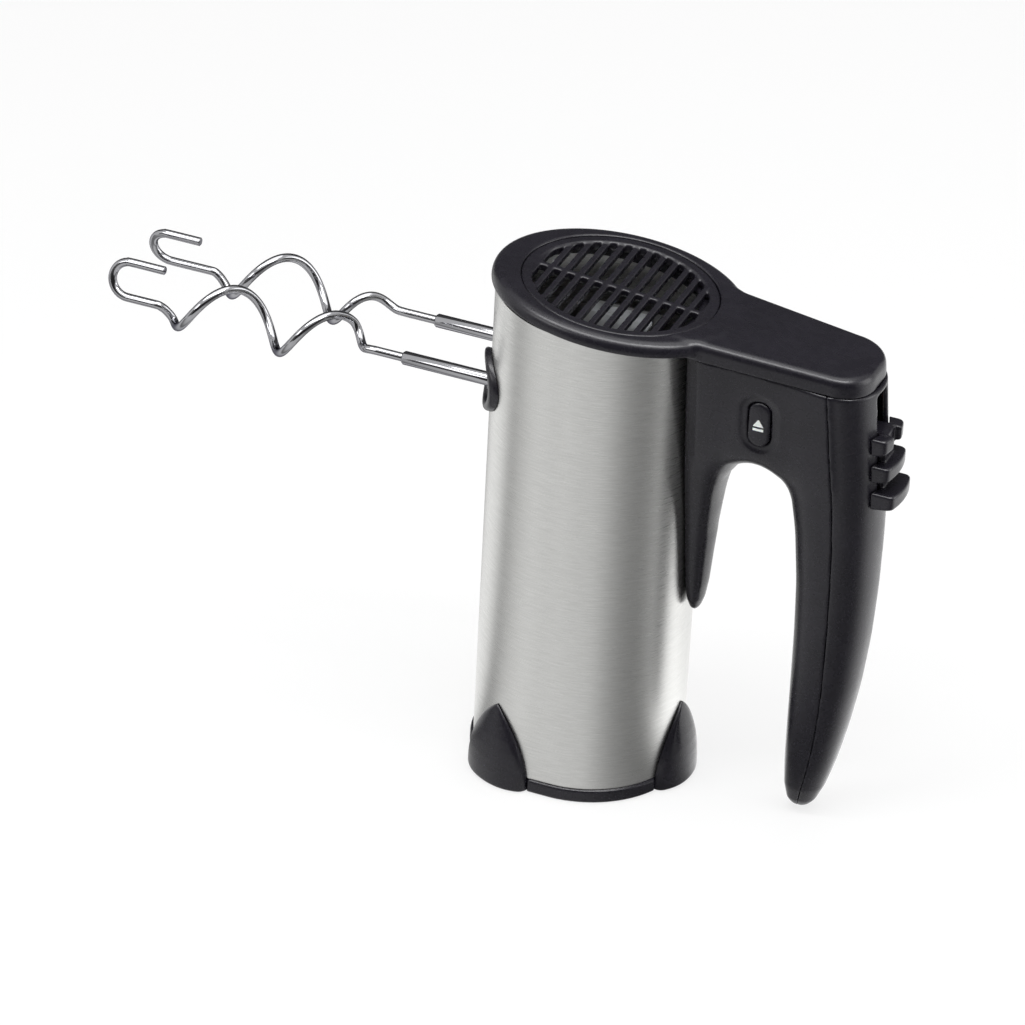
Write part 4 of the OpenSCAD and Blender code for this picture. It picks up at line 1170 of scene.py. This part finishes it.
def build_camera():
    a, e, roll = math.radians(AZIMUTH), math.radians(ELEVATION), math.radians(ROLL)
    back = np.array([math.sin(a) * math.cos(e), -math.cos(a) * math.cos(e), math.sin(e)])
    right = np.array([math.cos(a), math.sin(a), 0])
    up = np.cross(back, right)
    place = right * AIM_RIGHT + up * AIM_UP + back * DISTANCE
    x_axis = right * math.cos(roll) + up * math.sin(roll)
    y_axis = -right * math.sin(roll) + up * math.cos(roll)
    cam = bpy.data.cameras.new("camera")
    cam.sensor_fit = "HORIZONTAL"
    cam.sensor_width = SENSOR
    cam.lens = PX_PER_MM * DISTANCE * SENSOR / PHOTO_PX
    cam.clip_end = 20
    ob = link_new("camera", cam)
    turn = Matrix((x_axis, y_axis, back)).transposed().to_4x4()
    ob.matrix_world = Matrix.Translation(Vector(place * MM)) @ turn
    bpy.context.scene.camera = ob


def aimed(way):
    """The turn that points a lamp or a card along the given direction."""
    return way.to_track_quat("-Z", "Y").to_matrix().to_4x4()


def lamp(name, place, size, power, size_y=None):
    light = bpy.data.lights.new(name, "AREA")
    light.shape = "RECTANGLE"
    light.size = size
    light.size_y = size_y or size
    light.energy = power
    ob = link_new(name, light)
    ob.matrix_world = Matrix.Translation(Vector(place)) @ aimed(Vector(LAMP_AIM) - Vector(place))


def reflector(ob, name, material):
    """Makes a card that only reflections show: no camera ray, shadow or diffuse light meets it."""
    ob.name = name
    ob.visible_camera = ob.visible_diffuse = ob.visible_shadow = False
    ob.data.materials.append(material)


def white_glow(tree, strength):
    glow = tree.nodes.new("ShaderNodeEmission")
    glow.inputs["Color"].default_value = (1, 1, 1, 1)
    glow.inputs["Strength"].default_value = strength
    return glow


def card_paint(name, strength):
    """The material of an evenly glowing card, with its node tree and its glow."""
    mat = bpy.data.materials.new(name)
    mat.use_nodes = True
    tree = mat.node_tree
    tree.nodes.remove(tree.nodes["Principled BSDF"])
    glow = white_glow(tree, strength)
    tree.links.new(glow.outputs[0], tree.nodes["Material Output"].inputs["Surface"])
    return mat, tree, glow


def card(name, azimuth, elevation, distance, width, height, tone):
    """A flat card of one tone that faces the object from the given direction, in degrees."""
    bpy.ops.mesh.primitive_grid_add(x_subdivisions=2, y_subdivisions=2, size=1)
    ob = bpy.context.object
    a, e = math.radians(azimuth), math.radians(elevation)
    away = Vector((math.cos(a) * math.cos(e), math.sin(a) * math.cos(e), math.sin(e)))
    place = Matrix.Translation(CARD_AIM + distance * away)
    ob.matrix_world = place @ aimed(-away) @ Matrix.Diagonal((width, height, 1, 1))
    reflector(ob, name, card_paint(name, tone)[0])


def build_ring():
    """Graded cards laid round the object, which give the steel its upright bands."""
    mat, tree, glow = card_paint("ring_card", RING_TOP)
    where = tree.nodes.new("ShaderNodeTexCoord")
    around = tree.nodes.new("ShaderNodeTexGradient")
    around.gradient_type = "RADIAL"
    tree.links.new(where.outputs["Object"], around.inputs["Vector"])
    tones = tree.nodes.new("ShaderNodeValToRGB")
    fill_ramp(tones.color_ramp, [(a / 360 + 0.5, (tone / RING_TOP,) * 3) for a, tone in RING])
    tree.links.new(around.outputs["Fac"], tones.inputs["Fac"])
    tree.links.new(tones.outputs["Color"], glow.inputs["Color"])
    bm = bmesh.new()
    angles = [k * 2 * math.pi / RING_COUNT for k in range(RING_COUNT)]
    inner, outer = ([bm.verts.new((r * math.cos(a), r * math.sin(a), 0)) for a in angles]
                    for r in RING_RADII)
    join_rings(bm, outer, inner)
    ob = from_bmesh("ring_cards", bm)
    ob.location.z = RING_Z
    reflector(ob, "ring_cards", mat)


def plain_mix(tree, shader, share):
    """Mixes plain white into a shader, only where a camera, glossy or transmission ray sees it."""
    new, link = tree.nodes.new, tree.links.new
    path = new("ShaderNodeLightPath")
    seen = path.outputs["Is Camera Ray"]
    for kind in ("Is Glossy Ray", "Is Transmission Ray"):
        either = new("ShaderNodeMath")
        either.operation = "MAXIMUM"
        link(seen, either.inputs[0])
        link(path.outputs[kind], either.inputs[1])
        seen = either.outputs[0]
    part = new("ShaderNodeMath")
    part.operation = "MULTIPLY"
    part.inputs[1].default_value = share
    link(seen, part.inputs[0])
    white = white_glow(tree, 1.0)
    mix = new("ShaderNodeMixShader")
    link(part.outputs[0], mix.inputs[0])
    link(shader, mix.inputs[1])
    link(white.outputs[0], mix.inputs[2])
    return mix.outputs[0]


def build_studio():
    world = bpy.data.worlds.new("studio")
    bpy.context.scene.world = world
    world.use_nodes = True
    tree = world.node_tree
    plain = tree.nodes["Background"]
    plain.inputs["Color"].default_value = (1, 1, 1, 1)
    plain.inputs["Strength"].default_value = WORLD_GLOW
    out = plain_mix(tree, plain.outputs[0], 1.0)
    tree.links.new(out, tree.nodes["World Output"].inputs["Surface"])

    bpy.ops.mesh.primitive_grid_add(x_subdivisions=8, y_subdivisions=8, size=FLOOR_SIZE)
    floor = bpy.context.object
    floor.name = "floor"
    floor.location.z = FLOOR_Z
    m = Paint("pale_floor", (0.9, 0.9, 0.9), 0.9, Specular_IOR_Level=0.1)
    out = plain_mix(m.tree, m.bsdf.outputs[0], FLOOR_WHITE)
    m.link(out, m.tree.nodes["Material Output"].inputs["Surface"])
    floor.data.materials.append(m.mat)

    build_ring()
    card("card_camera", 291, 10, 0.55, 1.4, 0.62, 0.04)
    card("card_back", 111, 24, 1.5, 3.2, 1.6, 0.12)
    card("card_front", 249, 9, 1.4, 2.0, 0.7, 0.12)
    card("card_strip", 270, 72, 1.2, 1.8, 0.4, 11.0)

    lamp("overhead", (0.1, 0.1, 1.6), 1.2, 9)
    lamp("strip", (0.1, -0.3, 1.3), 1.6, 8, 0.08)
    lamp("front_left", (-1.2, -1.3, 0.9), 0.9, 9)
    lamp("right_back", (1.5, 0.5, 0.5), 0.8, 9, 1.2)


def main():
    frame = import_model()
    for slot, nodes in CAD_SLOTS.items():
        for node in nodes:
            paint(frame["nodes"][node], slot)
    build_camera()
    build_studio()
    build_tube()
    build_top()
    build_grille()
    build_base()
    build_claws()
    build_bezels()
    build_hooks()
    build_handle()
    build_button()
    build_slider()
    bpy.context.scene.view_settings.view_transform = "Standard"


main()
